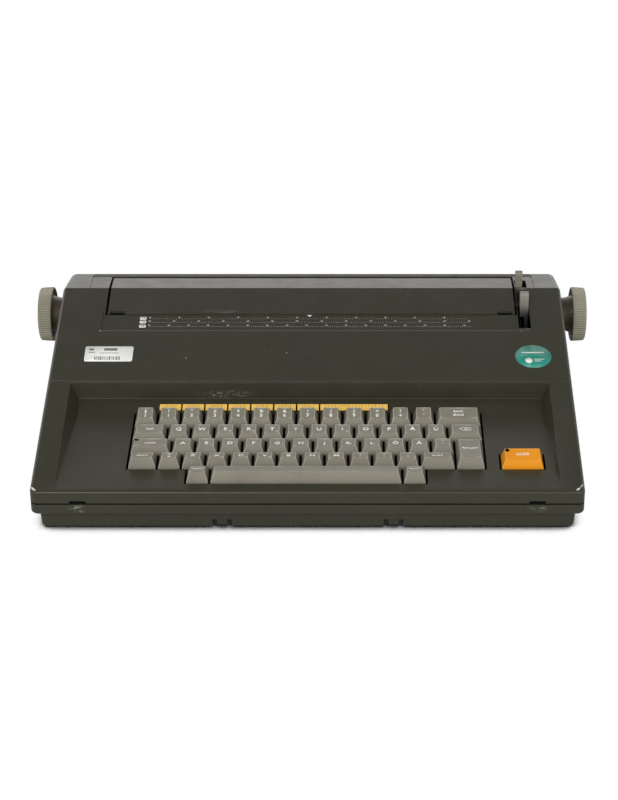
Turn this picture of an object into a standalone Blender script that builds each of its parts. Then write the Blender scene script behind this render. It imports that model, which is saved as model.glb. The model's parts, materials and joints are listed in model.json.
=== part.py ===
"""Electric typewriter with a daisy wheel: casing, keyboard, platen and carriage.

Construction is laid out with X to the right, Y back from the front lip and Z up
from the table. One empty then moves everything so that the origin is under the
middle of the machine.
"""
import math

import bmesh
import bpy
from mathutils import Vector

MM = 0.001

# General values
CLEARANCE = 0.3 * MM
OVERRUN = 4.0 * MM
OVERLAP = 0.4 * MM
WALL = 2.5 * MM
SHARP_ANGLE = math.radians(35)
FLAT_ANGLE = math.radians(0.01)

# Case: outside sizes
CASE_WIDTH = 436.0 * MM
CASE_DEPTH = 330.0 * MM
TOP_HEIGHT = 114.0 * MM
FOOT_STAND = 2.5 * MM
SEAM_HEIGHT = 26.2 * MM
LIP_HEIGHT = 33.4 * MM
LIP_ROUND = 3.6 * MM
LIP_RUN = 4.0 * MM
SLOPE_RUN = 231.5 * MM
COVER_SLOPE = math.atan2(TOP_HEIGHT - LIP_HEIGHT - LIP_ROUND, SLOPE_RUN)
DECK_SLOPE = math.radians(9.5)
CORNER_RADIUS = 5.5 * MM
EDGE_RADIUS = 3.0 * MM
TOP_EDGE_RADIUS = 8.0 * MM
TOP_TAPER = 6.0 * MM
REAR_TAPER = 13.0 * MM
TOP_FLAT = 34.0 * MM
REAR_SLOPE = math.radians(34)
REAR_WALL_TOP = 76.0 * MM
REAR_ROUND = 6.0 * MM

# Mechanism width: the lid, the levers and the drives follow it
PLATEN_HALF = 158.0 * MM
PLATEN_SIDE_ROOM = 26.0 * MM
CHASSIS_HALF = PLATEN_HALF + PLATEN_SIDE_ROOM

# Base pan
SKIRT_HEIGHT = 17.4 * MM
SKIRT_INSET = 9.0 * MM
SKIRT_DRAFT = 2.0 * MM
SKIRT_EDGE = 1.5 * MM
BULGE_ROUND = 3.5 * MM
BULGE_STEP = 0.4 * MM
FLOOR = 3.0 * MM
FOOT_RADIUS = 8.0 * MM
FOOT_RECESS = 1.8 * MM
FOOT_X = 178.0 * MM
FOOT_FRONT_Y = 34.0 * MM
FOOT_REAR_Y = 296.0 * MM
NOTCH_X = 68.0 * MM
NOTCH_WIDTH = 16.0 * MM
NOTCH_HEIGHT = 5.0 * MM
NOTCH_DEPTH = 4.0 * MM
VENT_COUNT = 8
VENT_PITCH = 7.0 * MM
VENT_WIDTH = 2.6 * MM
VENT_LENGTH = 40.0 * MM
VENT_Y = 200.0 * MM

# Keyboard bezel
RECESS_BACK_Y = 119.8 * MM
BEZEL_BACK_Y = 121.8 * MM
RECESS_TOP_X = 199.0 * MM
RECESS_DRAFT = math.radians(24)
LEDGE_FRONT_Y = 101.6 * MM
LEDGE_SLOPE = math.radians(22.6)
WING_WALL = 3.5 * MM
LATCH_NOTCH_X = 180.5 * MM
LATCH_NOTCH_WIDTH = 13.0 * MM
LATCH_NOTCH_HEIGHT = 3.0 * MM

# Keys
KEY_PITCH = 19.05 * MM
KEY_LEFT_X = -144.2 * MM
KEY_FRONT_V = 6.7 * MM
KEY_GAP = 0.9 * MM
KEY_SKIRT = 1.5 * MM
KEY_TOP_DEPTH = 12.0 * MM
KEY_SIDE_SLOPE = 3.0 * MM
OPENING_MARGIN = 0.8 * MM
OPENING_BACK = 0.9 * MM
WEB_WIDTH = 5.0 * MM
WEB_THICKNESS = 1.5 * MM
STEM_SIZE = 4.0 * MM
STEM_REACH = 12.0 * MM
PLATE_DROP = 8.0 * MM
PLATE_THICKNESS = 1.5 * MM
PLATE_MARGIN = 4.0 * MM
CODE_KEY_X = 171.0 * MM
CODE_KEY_WIDTH = 35.1 * MM
SPACE_GUIDE_X = 55.0 * MM
ROW_UNITS = 5
ROW_HEIGHTS = (7.4 * MM, 7.0 * MM, 6.1 * MM, 5.9 * MM, 8.3 * MM)
ROW_TILTS = tuple(math.radians(a) for a in (-16.0, -17.5, -8.5, -4.0, 10.0))
STRIP_FRONT = 4.9 * MM
STRIP_LENGTH = 8.4 * MM
STRIP_THICKNESS = 0.8 * MM

# Lid, paper slot and paper support
LEVER_SLOT_INSET = 0.4 * MM
LEVER_SLOT_WIDTH = 10.4 * MM
LEVER_SLOT_RIB = 0.4 * MM
LEVER_SLOT_X = CHASSIS_HALF - LEVER_SLOT_INSET
LID_SIDE_GAP = 2.0 * MM
LID_HALF_WIDTH = LEVER_SLOT_X - LEVER_SLOT_WIDTH / 2 - LEVER_SLOT_RIB - LID_SIDE_GAP
LID_FRONT_Y = 202.5 * MM
LID_BACK_Y = 259.0 * MM
LID_FRONT_GAP = 0.8 * MM
SCALE_FRONT_Y = 181.4 * MM
SCALE_SIDE_REACH = 4.0 * MM
SCALE_HALF_WIDTH = LID_HALF_WIDTH + SCALE_SIDE_REACH
SCALE_DEPTH = 1.0 * MM
FINGER_NOTCH = 14.0 * MM
FINGER_NOTCH_DEPTH = 4.0 * MM
PAPER_SLOT = 3.6 * MM
SUPPORT_HALF_WIDTH = 194.5 * MM
SUPPORT_GAP = 0.6 * MM
SUPPORT_BACK_Y = 303.5 * MM
SUPPORT_BACK_GAP = 2.6 * MM
HINGE_DEPTH = 3.0 * MM
HINGE_INSET = 2.0 * MM
SUPPORT_HINGE_INSET = 1.0 * MM
PIN_RADIUS = 1.5 * MM
EAR_RADIUS = 2.7 * MM
EAR_THICKNESS = 2.5 * MM
EAR_INSET = 1.0 * MM
BRACKET_WIDTH = 3.0 * MM
BRACKET_LENGTH = 6.0 * MM
BRACKET_DROP = 7.0 * MM
LEVER_SLOT_FRONT_Y = 187.6 * MM
LEVER_SLOT_BACK_Y = 232.0 * MM
BAIL_SLOT_FRONT_Y = 236.5 * MM
BAIL_SLOT_BACK_Y = 253.6 * MM

# Platen and its drive
PLATEN_Y = 259.8 * MM
PLATEN_Z = 79.4 * MM
PLATEN_RADIUS = 16.5 * MM
SHAFT_RADIUS = 4.0 * MM
KNOB_OUTER_X = 243.0 * MM
KNOB_RIM = 12.0 * MM
KNOB_RADIUS = 24.2 * MM
KNOB_TAPER = 0.7 * MM
KNOB_NECK = 17.0 * MM
KNOB_WAIST = 14.5 * MM
KNOB_GAP = 2.0 * MM
KNOB_CUP_RADIUS = 19.5 * MM
KNOB_CUP_DEPTH = 8.0 * MM
KNOB_BOSS_RADIUS = 8.0 * MM
KNOB_BOSS_DROP = 3.0 * MM
KNOB_CHAMFER = 1.2 * MM
SHAFT_HOLE = 6.5 * MM
GEAR_MODULE = 1.0 * MM
GEAR_TEETH = 40
PINION_TEETH = 10
GEAR_WIDTH = 5.0 * MM
GEAR_GAP = 2.0 * MM
TOOTH_RELIEF = 0.25 * MM
MESH_ANGLE = math.radians(-25)
FEED_MOTOR_RADIUS = 17.5 * MM
FEED_MOTOR_LENGTH = 19.0 * MM
FEED_MOTOR_SHAFT = 1.5 * MM
FEED_ROLLER_RADIUS = 5.0 * MM
FEED_SHAFT_RADIUS = 2.0 * MM
FEED_ROLLER_LENGTH = 34.0 * MM
FEED_ROLLER_COUNT = 4
FEED_ROLLER_INSET = 41.0 * MM
FEED_ROLLER_PITCH = 2 * (PLATEN_HALF - FEED_ROLLER_INSET) / (FEED_ROLLER_COUNT - 1)
PAN_GAP = 1.2 * MM
PAN_THICKNESS = 1.0 * MM
PAN_START = math.radians(-158)
PAN_END = math.radians(28)
PAN_STEPS = 14
PAN_TAB_WIDTH = 6.0 * MM
PAN_TAB_RISE = 0.45 * MM
PAN_TAB_THICKNESS = 1.05 * MM
PAN_TAB_ROOT = 7.0 * MM
PAN_SLOT_MARGIN = 1.5 * MM

# Chassis
SHEET = 1.5 * MM
CHASSIS_FLOOR_Z = 14.0 * MM
CHASSIS_FRONT_Y = 176.0 * MM
CHASSIS_BACK_Y = 292.0 * MM
SIDE_FRONT_Y = 190.0 * MM
SIDE_TOP_Z = 87.0 * MM
SIDE_SHOULDER = 30.0 * MM
FLANGE_TOP_Z = 66.0 * MM
REAR_FLANGE_Z = 30.0 * MM
BOSS_RADIUS = 5.0 * MM
BOSS_SIDE_INSET = 34.0 * MM
BOSS_X = CHASSIS_HALF - BOSS_SIDE_INSET
BOSS_INSET = 12.0 * MM

# Carriage and its drive
RAIL_Y = 203.0 * MM
RAIL_Z = 50.0 * MM
RAIL_RADIUS = 4.0 * MM
CARRIAGE_HALF = 22.0 * MM
CARRIAGE_FLOOR_Z = 30.0 * MM
CARRIAGE_TOP_Z = 83.0 * MM
CARRIAGE_FRONT_Y = 196.0 * MM
CARRIAGE_WALL_Y = 211.0 * MM
CARRIAGE_WALL = 2.0 * MM
SHOE_DEPTH = 6.0 * MM
SHOE_HEIGHT = 9.0 * MM
SHOE_TOP = 3.0 * MM
WHEEL_RADIUS = 31.0 * MM
WHEEL_DROP = 29.0 * MM
WHEEL_Y = 237.0 * MM
WHEEL_THICKNESS = 1.2 * MM
WHEEL_HUB_RADIUS = 8.0 * MM
WHEEL_HUB_FRONT = 3.0 * MM
WHEEL_WEB_RADIUS = 15.0 * MM
WHEEL_PETALS = 32
WHEEL_MOTOR_RADIUS = 13.0 * MM
WHEEL_MOTOR_LENGTH = 18.0 * MM
WHEEL_MOTOR_SHAFT = 2.0 * MM
HAMMER_RADIUS = 2.2 * MM
HAMMER_LENGTH = 20.0 * MM
HAMMER_GAP = 2.0 * MM
HAMMER_BODY_RADIUS = 6.5 * MM
HAMMER_BODY_LENGTH = 14.0 * MM
CASSETTE_HALF = 48.0 * MM
CASSETTE_HEIGHT = 10.0 * MM
CASSETTE_FRONT_Y = 210.0 * MM
CASSETTE_BACK_Y = 232.0 * MM
CASSETTE_ARM = 5.0 * MM
CASSETTE_ARM_REACH = 7.0 * MM
CASSETTE_ARM_DROP = 6.0 * MM
BELT_Y = 188.5 * MM
BELT_Z = 31.5 * MM
BELT_WIDTH = 5.0 * MM
BELT_THICKNESS = 1.2 * MM
PULLEY_RADIUS = 6.0 * MM
PULLEY_SIDE_INSET = 21.0 * MM
PULLEY_X = CHASSIS_HALF - PULLEY_SIDE_INSET
PULLEY_FLANGE = 8.4 * MM
PULLEY_FLANGE_WIDTH = 1.0 * MM
PULLEY_SHAFT = 1.5 * MM
DRIVE_MOTOR_RADIUS = 13.0 * MM
DRIVE_MOTOR_LENGTH = 20.0 * MM
DRIVE_MOTOR_GAP = 3.0 * MM
CLAMP_WIDTH = 12.0 * MM
CLAMP_WALL = 2.0 * MM

# Paper levers and bail
LEVER_GAP = 0.7 * MM
LEVER_WIDTH = 3.0 * MM
LEVER_PIN = 2.5 * MM
LEVER_HUB = 5.0 * MM
RELEASE_PIVOT_Y = 208.0 * MM
RELEASE_PIVOT_Z = 66.0 * MM
RELEASE_TIP_Y = 214.0 * MM
RELEASE_TIP_Z = 119.5 * MM
RELEASE_HEAD_OVERHANG = 3.2 * MM
RELEASE_HEAD_INNER_X = CHASSIS_HALF - RELEASE_HEAD_OVERHANG
RELEASE_HEAD_LENGTH = 22.0 * MM
RELEASE_HEAD_WIDTH = 7.0 * MM
RELEASE_ARM = 6.0 * MM
RELEASE_FOOT_Y = 240.0 * MM
RELEASE_FOOT_Z = 52.0 * MM
BAIL_PIVOT_Y = 246.0 * MM
BAIL_PIVOT_Z = 68.0 * MM
BAIL_TIP_Y = 240.0 * MM
BAIL_TIP_Z = 128.4 * MM
BAIL_ROD_RADIUS = 2.0 * MM
BAIL_ROD_Y = 243.4 * MM
BAIL_ROD_Z = 94.8 * MM
BAIL_ARM = 6.0 * MM
BAIL_ARM_INSET = 7.5 * MM
BAIL_HANDLE_INSET = 2.4 * MM
BAIL_ARM_X = CHASSIS_HALF - BAIL_ARM_INSET
BAIL_HANDLE_X = CHASSIS_HALF - BAIL_HANDLE_INSET
BAIL_HANDLE_WIDTH = 6.0 * MM

# Power entry and electronics
BOARD_HALF = 150.0 * MM
BOARD_FRONT_Y = 24.0 * MM
BOARD_BACK_Y = 112.0 * MM
BOARD_Z = 10.0 * MM
BOARD_THICKNESS = 1.6 * MM
CHIP_LENGTH = 36.0 * MM
CHIP_WIDTH = 14.0 * MM
CHIP_HEIGHT = 4.0 * MM
CHIP_PITCH = 55.0 * MM
CHIP_COUNT = 4
TRANSFORMER_X = 108.0 * MM
TRANSFORMER_WIDTH = 62.0 * MM
TRANSFORMER_FRONT_Y = 296.5 * MM
TRANSFORMER_DEPTH = 18.0 * MM
TRANSFORMER_HEIGHT = 44.0 * MM
TRANSFORMER_COIL = 36.0 * MM
TRANSFORMER_COIL_SIDE = 2.2 * MM
PEDESTAL = 3.0 * MM
INLET_X = -150.0 * MM
INLET_Z = 46.0 * MM
INLET_WIDTH = 26.0 * MM
INLET_HEIGHT = 18.0 * MM
INLET_DEPTH = 22.0 * MM
INLET_FLANGE = 3.0 * MM
INLET_FLANGE_DEPTH = 2.0 * MM
INLET_SOCKET_MARGIN = 4.0 * MM
INLET_SOCKET_DEPTH = 16.0 * MM
INLET_PIN_RADIUS = 1.2 * MM
INLET_PIN_SPACING = 8.6 * MM
INLET_PIN_LENGTH = 9.0 * MM
SWITCH_X = 152.0 * MM
SWITCH_Z = 46.0 * MM
SWITCH_WIDTH = 12.0 * MM
SWITCH_HEIGHT = 22.0 * MM
SWITCH_DEPTH = 9.0 * MM
SWITCH_BULGE = 1.6 * MM
SWITCH_GAP = 0.8 * MM
SWITCH_PAD = 5.0 * MM
SWITCH_PAD_DEPTH = 8.0 * MM
SWITCH_PIN_LENGTH = 1.8 * MM

# Material colours, roughness and metallic value
MATERIALS = {
    "case": ((0.050, 0.048, 0.038), 0.55, 0.0),
    "key": ((0.205, 0.195, 0.170), 0.50, 0.0),
    "code": ((0.870, 0.270, 0.030), 0.45, 0.0),
    "strip": ((0.930, 0.420, 0.050), 0.50, 0.0),
    "lever": ((0.300, 0.290, 0.230), 0.50, 0.0),
    "rubber": ((0.015, 0.015, 0.015), 0.80, 0.0),
    "steel": ((0.560, 0.570, 0.580), 0.32, 1.0),
    "black_plastic": ((0.020, 0.020, 0.022), 0.45, 0.0),
    "white_plastic": ((0.700, 0.690, 0.640), 0.45, 0.0),
    "board": ((0.040, 0.160, 0.060), 0.45, 0.0),
    "copper": ((0.600, 0.250, 0.100), 0.40, 1.0),
}

half_case = CASE_WIDTH / 2
crease_y = LIP_RUN + SLOPE_RUN
rear_edge_y = crease_y + TOP_FLAT
slope_end_y = rear_edge_y + (TOP_HEIGHT - REAR_WALL_TOP) / math.tan(REAR_SLOPE)
case_floor_z = FOOT_STAND + FLOOR
shell_z = SEAM_HEIGHT + CLEARANCE


def slope_z(y):
    """Height of the sloping upper face at a distance back from the lip."""
    return LIP_HEIGHT + LIP_ROUND + (y - LIP_RUN) * math.tan(COVER_SLOPE)


def case_top(y):
    """Height of the outer case along its middle line, behind the lip."""
    rear = TOP_HEIGHT - (min(y, slope_end_y) - rear_edge_y) * math.tan(REAR_SLOPE)
    return min(slope_z(y), TOP_HEIGHT, rear)


def deck_z(y):
    """Height of the key deck."""
    return LIP_HEIGHT + LIP_ROUND + (y - LIP_RUN) * math.tan(DECK_SLOPE)


def ledge_z(y):
    """Height of the steeper ledge behind the keys."""
    return deck_z(LEDGE_FRONT_Y) + (y - LEDGE_FRONT_Y) * math.tan(LEDGE_SLOPE)


def clear_scene():
    """Empty the file of its objects."""
    for item in list(bpy.data.objects):
        bpy.data.objects.remove(item, do_unlink=True)


def make_materials():
    """One Principled material for each finish."""
    made = {}
    for name, (colour, roughness, metallic) in MATERIALS.items():
        material = bpy.data.materials.new(name)
        material.use_nodes = True
        shader = material.node_tree.nodes["Principled BSDF"]
        shader.inputs["Base Color"].default_value = (*colour, 1.0)
        shader.inputs["Roughness"].default_value = roughness
        shader.inputs["Metallic"].default_value = metallic
        made[name] = material
    return made


def enclosed(points, faces):
    """Signed volume of a closed shape: negative when its faces point inwards."""
    total = 0.0
    for face in faces:
        first = Vector(points[face[0]])
        for i in range(1, len(face) - 1):
            total += first.dot(Vector(points[face[i]]).cross(Vector(points[face[i + 1]])))
    return total / 6


def outward(points, faces):
    """The shape with its faces pointing out."""
    if enclosed(points, faces) < 0:
        faces = [tuple(reversed(face)) for face in faces]
    return points, faces


def loft(rings):
    """Closed solid through rings that have the same number of points."""
    count = len(rings[0])
    points = [tuple(p) for ring in rings for p in ring]
    last = len(points) - count
    faces = [tuple(reversed(range(count))), tuple(last + i for i in range(count))]
    for r in range(len(rings) - 1):
        for i in range(count):
            j = (i + 1) % count
            faces.append((r * count + i, r * count + j, (r + 1) * count + j, (r + 1) * count + i))
    return points, faces


def extrude(outline, axis, start, end):
    """Solid swept from an outline in the plane across an axis."""
    place = {
        "X": lambda a, b, along: (along, a, b),
        "Y": lambda a, b, along: (a, along, b),
        "Z": lambda a, b, along: (a, b, along),
    }[axis]
    return loft([[place(a, b, along) for a, b in outline] for along in (start, end)])


def block(low, high):
    """Box between two corners."""
    outline = [(low[0], low[1]), (high[0], low[1]), (high[0], high[1]), (low[0], high[1])]
    return extrude(outline, "Z", low[2], high[2])


def turn(profile, axis, centre, sides=24):
    """Solid of revolution: profile holds (distance along the axis, radius)."""
    rings = []
    for along, radius in profile:
        ring = []
        for i in range(sides):
            angle = 2 * math.pi * (i + 0.5) / sides
            a, b = radius * math.cos(angle), radius * math.sin(angle)
            if axis == "X":
                ring.append((along, centre[0] + a, centre[1] + b))
            elif axis == "Y":
                ring.append((centre[0] + a, along, centre[1] + b))
            else:
                ring.append((centre[0] + a, centre[1] + b, along))
        rings.append(ring)
    return loft(rings)


def rod(axis, centre, radius, start, end, sides=16):
    """Cylinder along an axis."""
    return turn([(start, radius), (end, radius)], axis, centre, sides)


def mirrored(shape):
    """The same shape on the other side of the middle plane."""
    points, faces = shape
    return [(-x, y, z) for x, y, z in points], faces


def both(shape):
    """A shape and its mirror image."""
    return [shape, mirrored(shape)]


def on_deck(x, v, n):
    """Point from deck coordinates: across, up the deck and out of it."""
    y = LIP_RUN + v * math.cos(DECK_SLOPE) - n * math.sin(DECK_SLOPE)
    z = LIP_HEIGHT + LIP_ROUND + v * math.sin(DECK_SLOPE) + n * math.cos(DECK_SLOPE)
    return x, y, z


def deck_shape(shape):
    """Shape drawn in deck coordinates, put in its place."""
    points, faces = shape
    return [on_deck(*p) for p in points], faces


def rounded_outline(half, front, back, radius, steps=3):
    """Rectangle with round corners, seen from above."""
    corners = [(half - radius, front + radius, -90), (half - radius, back - radius, 0),
               (radius - half, back - radius, 90), (radius - half, front + radius, 180)]
    outline = []
    for cx, cy, first in corners:
        for i in range(steps + 1):
            angle = math.radians(first + 90 * i / steps)
            outline.append((cx + radius * math.cos(angle), cy + radius * math.sin(angle)))
    return outline


def tray(levels):
    """Solid with round corners from (height, inset) levels."""
    rings = []
    for z, inset in levels:
        radius = max(CORNER_RADIUS - inset / 2, CORNER_RADIUS / 2)
        outline = rounded_outline(half_case - inset, inset, CASE_DEPTH - inset, radius)
        rings.append([(x, y, z) for x, y in outline])
    return loft(rings)


def arch(y, low_half, half, low, top, radius, steps=4):
    """Section of the case at one distance back, with round upper edges."""
    right = [(low_half, low), (half, top - radius)]
    for i in range(1, steps + 1):
        angle = math.radians(90 * i / steps)
        right.append((half - radius + radius * math.cos(angle), top - radius + radius * math.sin(angle)))
    left = [(-x, z) for x, z in reversed(right)]
    return [(x, y, z) for x, z in right + left]


def shell_section(y, inset, lip=0.0, low=shell_z):
    """Section of the case's upper shell, moved in by an inset."""
    share = min(max((y - crease_y) / TOP_FLAT, 0.0), 1.0)
    rear_share = min(max((y - rear_edge_y) / (CASE_DEPTH - rear_edge_y), 0.0), 1.0)
    half = half_case - TOP_TAPER * share - (REAR_TAPER - TOP_TAPER) * rear_share
    radius = EDGE_RADIUS + (TOP_EDGE_RADIUS - EDGE_RADIUS) * share
    low_half = half_case
    top = case_top(y) - lip
    if y < CORNER_RADIUS:
        back_off = CORNER_RADIUS - math.sqrt(CORNER_RADIUS ** 2 - (CORNER_RADIUS - y) ** 2)
        half -= back_off
        low_half -= back_off
    if y > CASE_DEPTH - REAR_ROUND:
        run = y - (CASE_DEPTH - REAR_ROUND)
        back_off = REAR_ROUND - math.sqrt(max(REAR_ROUND ** 2 - run ** 2, 0.0))
        half -= back_off
        low_half -= back_off
        top = min(top, REAR_WALL_TOP - back_off)
    return arch(y, low_half - inset, half - inset, low, top - inset, max(radius - inset / 2, OVERLAP))


def hinge_ear(x, y, z, bracket_x):
    """Ear on each side of a panel, with a pin that reaches into its bracket."""
    ear = rod("X", (y, z), EAR_RADIUS, x - EAR_THICKNESS, x, 16)
    pin = rod("X", (y, z), PIN_RADIUS, x - OVERLAP, bracket_x + BRACKET_WIDTH - 3 * CLEARANCE, 12)
    return both(ear), both(pin)


def hinge_bracket(x, y, z):
    """Block under the case skin that takes a hinge pin, and its bore."""
    front, back = y - BRACKET_LENGTH / 2, y + BRACKET_LENGTH / 2
    outline = [(front, case_top(front) - OVERLAP), (back, case_top(back) - OVERLAP),
               (back, z - BRACKET_DROP), (front, z - BRACKET_DROP)]
    body = extrude(outline, "X", x, x + BRACKET_WIDTH)
    bore = rod("X", (y, z), PIN_RADIUS + CLEARANCE, x - OVERRUN, x + BRACKET_WIDTH - CLEARANCE * 2, 12)
    return both(body), both(bore)


class Builder:
    """Turns shapes into objects under one empty."""

    def __init__(self):
        self.materials = make_materials()
        self.frame = bpy.data.objects.new("machine_frame", None)
        self.frame.location = (0, -CASE_DEPTH / 2, 0)
        bpy.context.scene.collection.objects.link(self.frame)
        self.helpers = 0

    def mesh_object(self, name, shapes, origin, tilt):
        """Object whose origin is on its joint's axis, turned by a tilt about X."""
        mesh = bpy.data.meshes.new(name)
        shaped = bmesh.new()
        cos_tilt, sin_tilt = math.cos(-tilt), math.sin(-tilt)
        for shape in shapes:
            points, faces = outward(*shape)
            made = []
            for x, y, z in points:
                dy, dz = y - origin[1], z - origin[2]
                turned = (x - origin[0], dy * cos_tilt - dz * sin_tilt, dy * sin_tilt + dz * cos_tilt)
                made.append(shaped.verts.new(turned))
            for face in faces:
                shaped.faces.new([made[i] for i in face])
        bmesh.ops.connect_verts_nonplanar(shaped, angle_limit=FLAT_ANGLE, faces=shaped.faces)
        shaped.to_mesh(mesh)
        shaped.free()
        item = bpy.data.objects.new(name, mesh)
        item.location = origin
        item.rotation_euler.x = tilt
        item.parent = self.frame
        bpy.context.scene.collection.objects.link(item)
        return item

    def boolean(self, item, shapes, operation, origin, tilt):
        """Join or cut an object with shapes that don't touch each other."""
        self.helpers += 1
        helper = self.mesh_object(f"helper_{self.helpers}", shapes, origin, tilt)
        helper.hide_render = True
        helper.display_type = "WIRE"
        modifier = item.modifiers.new(operation.lower(), "BOOLEAN")
        modifier.operation = operation
        modifier.solver = "EXACT"
        modifier.object = helper

    def piece(self, name, material, base, join=(), cut=(), origin=(0, 0, 0), tilt=0.0):
        """One named sub-part: base shapes, then groups to join, then groups to cut."""
        item = self.mesh_object(name, base, origin, tilt)
        item.data.materials.append(self.materials[material])
        for group in join:
            self.boolean(item, group, "UNION", origin, tilt)
        for group in cut:
            self.boolean(item, group, "DIFFERENCE", origin, tilt)
        item.data.shade_smooth()
        item.data.set_sharp_from_angle(angle=SHARP_ANGLE)
        return item


def key_rows():
    """Every key: name, row, first unit, width in units, rows high."""
    keys = []
    keys += [("number", 4, u, 1.0) for u in range(13)]
    keys += [("letter_top", 3, 1.5 + u, 1.0) for u in range(12)]
    keys += [("letter_home", 2, 1.75 + u, 1.0) for u in range(12)]
    keys += [("letter_low", 1, 1.25 + u, 1.0) for u in range(11)]
    return keys


def single_keys():
    """Keys that are a node each: name, row, first unit, width in units, rows high."""
    return (
        ("backspace_key", 4, 13.0, 2.0, 1),
        ("tab_key", 3, 0.0, 1.5, 1),
        ("correction_key", 3, 13.5, 1.5, 1),
        ("lock_key", 2, 0.0, 1.75, 1),
        ("return_key", 1, 13.75, 1.25, 2),
        ("left_shift_key", 1, 0.0, 1.25, 1),
        ("right_shift_key", 1, 12.25, 1.5, 1),
        ("repeat_key", 0, 2.5, 1.0, 1),
        ("space_bar", 0, 3.5, 8.0, 1),
        ("relocate_key", 0, 11.5, 1.0, 1),
    )


def key_blocks():
    """How many keys each node of a row holds."""
    return {
        "number": (5, 4, 4),
        "letter_top": (4, 4, 4),
        "letter_home": (4, 4, 4),
        "letter_low": (4, 4, 3),
    }


def cap_shape(centre_x, width, row, rows_high):
    """Key cap: straight skirt below the deck and a sculpted, tapering top."""
    half = (width - KEY_GAP) / 2
    front = KEY_FRONT_V + row * KEY_PITCH + KEY_GAP / 2
    depth = rows_high * KEY_PITCH - KEY_GAP
    middle = front + depth / 2
    height = ROW_HEIGHTS[row]
    tilt = ROW_TILTS[row]
    half_top = (KEY_TOP_DEPTH + (rows_high - 1) * KEY_PITCH) / 2
    rings = []
    for level in (-KEY_SKIRT, 0.0):
        rings.append([(centre_x - half, front, level), (centre_x + half, front, level),
                      (centre_x + half, front + depth, level), (centre_x - half, front + depth, level)])
    top_half = half - KEY_SIDE_SLOPE
    ring = []
    for side, end in ((-1, -1), (1, -1), (1, 1), (-1, 1)):
        rise = end * half_top * math.sin(tilt) / rows_high
        ring.append((centre_x + side * top_half, middle + end * half_top * math.cos(tilt), height + rise))
    rings.append(ring)
    return loft(rings)


def stem_shape(centre_x, middle, top):
    """Square stem under a key, down through the switch plate."""
    half = STEM_SIZE / 2
    return block((centre_x - half, middle - half, -STEM_REACH), (centre_x + half, middle + half, top))


def row_middle(row, rows_high=1):
    """Middle of a row, measured up the deck."""
    return KEY_FRONT_V + (row + rows_high / 2) * KEY_PITCH


def unit_x(units):
    """Place across the keyboard of a number of key widths."""
    return KEY_LEFT_X + units * KEY_PITCH


def build_keys(builder):
    """All keys, and the list of their stems' places for the switch plate."""
    stems = []
    top = -KEY_SKIRT + OVERLAP
    web_top = top
    web_low = -KEY_SKIRT - WEB_THICKNESS
    keys = key_rows()
    for row_name, counts in key_blocks().items():
        row_keys = [k for k in keys if k[0] == row_name]
        first = 0
        for number, count in enumerate(counts, 1):
            group = row_keys[first:first + count]
            first += count
            row = group[0][1]
            middle = row_middle(row)
            centres = [unit_x(u + width / 2) for _, _, u, width in group]
            caps = [cap_shape(x, KEY_PITCH, row, 1) for x in centres]
            web = block((centres[0], middle - WEB_WIDTH / 2, web_low),
                        (centres[-1], middle + WEB_WIDTH / 2, web_top))
            legs = [stem_shape(x, middle, web_low + OVERLAP) for x in centres]
            stems += [(x, middle) for x in centres]
            builder.piece(f"{row_name}_keys_{number}", "key", [deck_shape(s) for s in caps],
                          join=[[deck_shape(web)], [deck_shape(s) for s in legs]],
                          origin=on_deck(centres[0], middle, 0), tilt=DECK_SLOPE)
    singles = [(name, row, unit_x(u + w / 2), w * KEY_PITCH, high) for name, row, u, w, high in single_keys()]
    singles.append(("code_key", 1, CODE_KEY_X, CODE_KEY_WIDTH, 1))
    for name, row, x, width, high in singles:
        middle = row_middle(row, high)
        cap = cap_shape(x, width, row, high)
        places = [x - SPACE_GUIDE_X, x, x + SPACE_GUIDE_X] if name == "space_bar" else [x]
        legs = [stem_shape(place, middle, top) for place in places]
        stems += [(place, middle) for place in places]
        builder.piece(name, "code" if name == "code_key" else "key", [deck_shape(cap)],
                      join=[[deck_shape(s) for s in legs]],
                      origin=on_deck(x, middle, 0), tilt=DECK_SLOPE)
    return stems


def key_openings():
    """Openings in the deck for the keys, in deck coordinates."""
    left, right = unit_x(0) - OPENING_MARGIN, unit_x(15) + OPENING_MARGIN
    row_one = KEY_FRONT_V + KEY_PITCH
    back = KEY_FRONT_V + ROW_UNITS * KEY_PITCH + OPENING_BACK
    low, high = -4 * WALL, 4 * WALL
    main = block((left, row_one - OPENING_MARGIN, low), (right, back, high))
    space = block((unit_x(2.5) - OPENING_MARGIN, KEY_FRONT_V - OPENING_MARGIN, low),
                  (unit_x(12.5) + OPENING_MARGIN, row_one + OVERRUN, high))
    half = CODE_KEY_WIDTH / 2 + OPENING_MARGIN
    code = block((CODE_KEY_X - half, row_one - OPENING_MARGIN, low),
                 (CODE_KEY_X + half, row_one + KEY_PITCH + OPENING_MARGIN, high))
    return [deck_shape(main), deck_shape(code)], [deck_shape(space)]


def build_switch_plate(builder, stems):
    """Plate that guides the key stems, parallel to the deck."""
    top, low = -PLATE_DROP, -PLATE_DROP - PLATE_THICKNESS
    back = KEY_FRONT_V + ROW_UNITS * KEY_PITCH + PLATE_MARGIN
    plate = block((unit_x(0) - PLATE_MARGIN, KEY_FRONT_V - PLATE_MARGIN / 2, low),
                  (CODE_KEY_X + CODE_KEY_WIDTH / 2, back, top))
    half = STEM_SIZE / 2 + CLEARANCE
    holes = [deck_shape(block((x - half, v - half, low - OVERRUN), (x + half, v + half, top + OVERRUN)))
             for x, v in stems]
    builder.piece("key_switch_plate", "steel", [deck_shape(plate)], cut=[holes])


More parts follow.
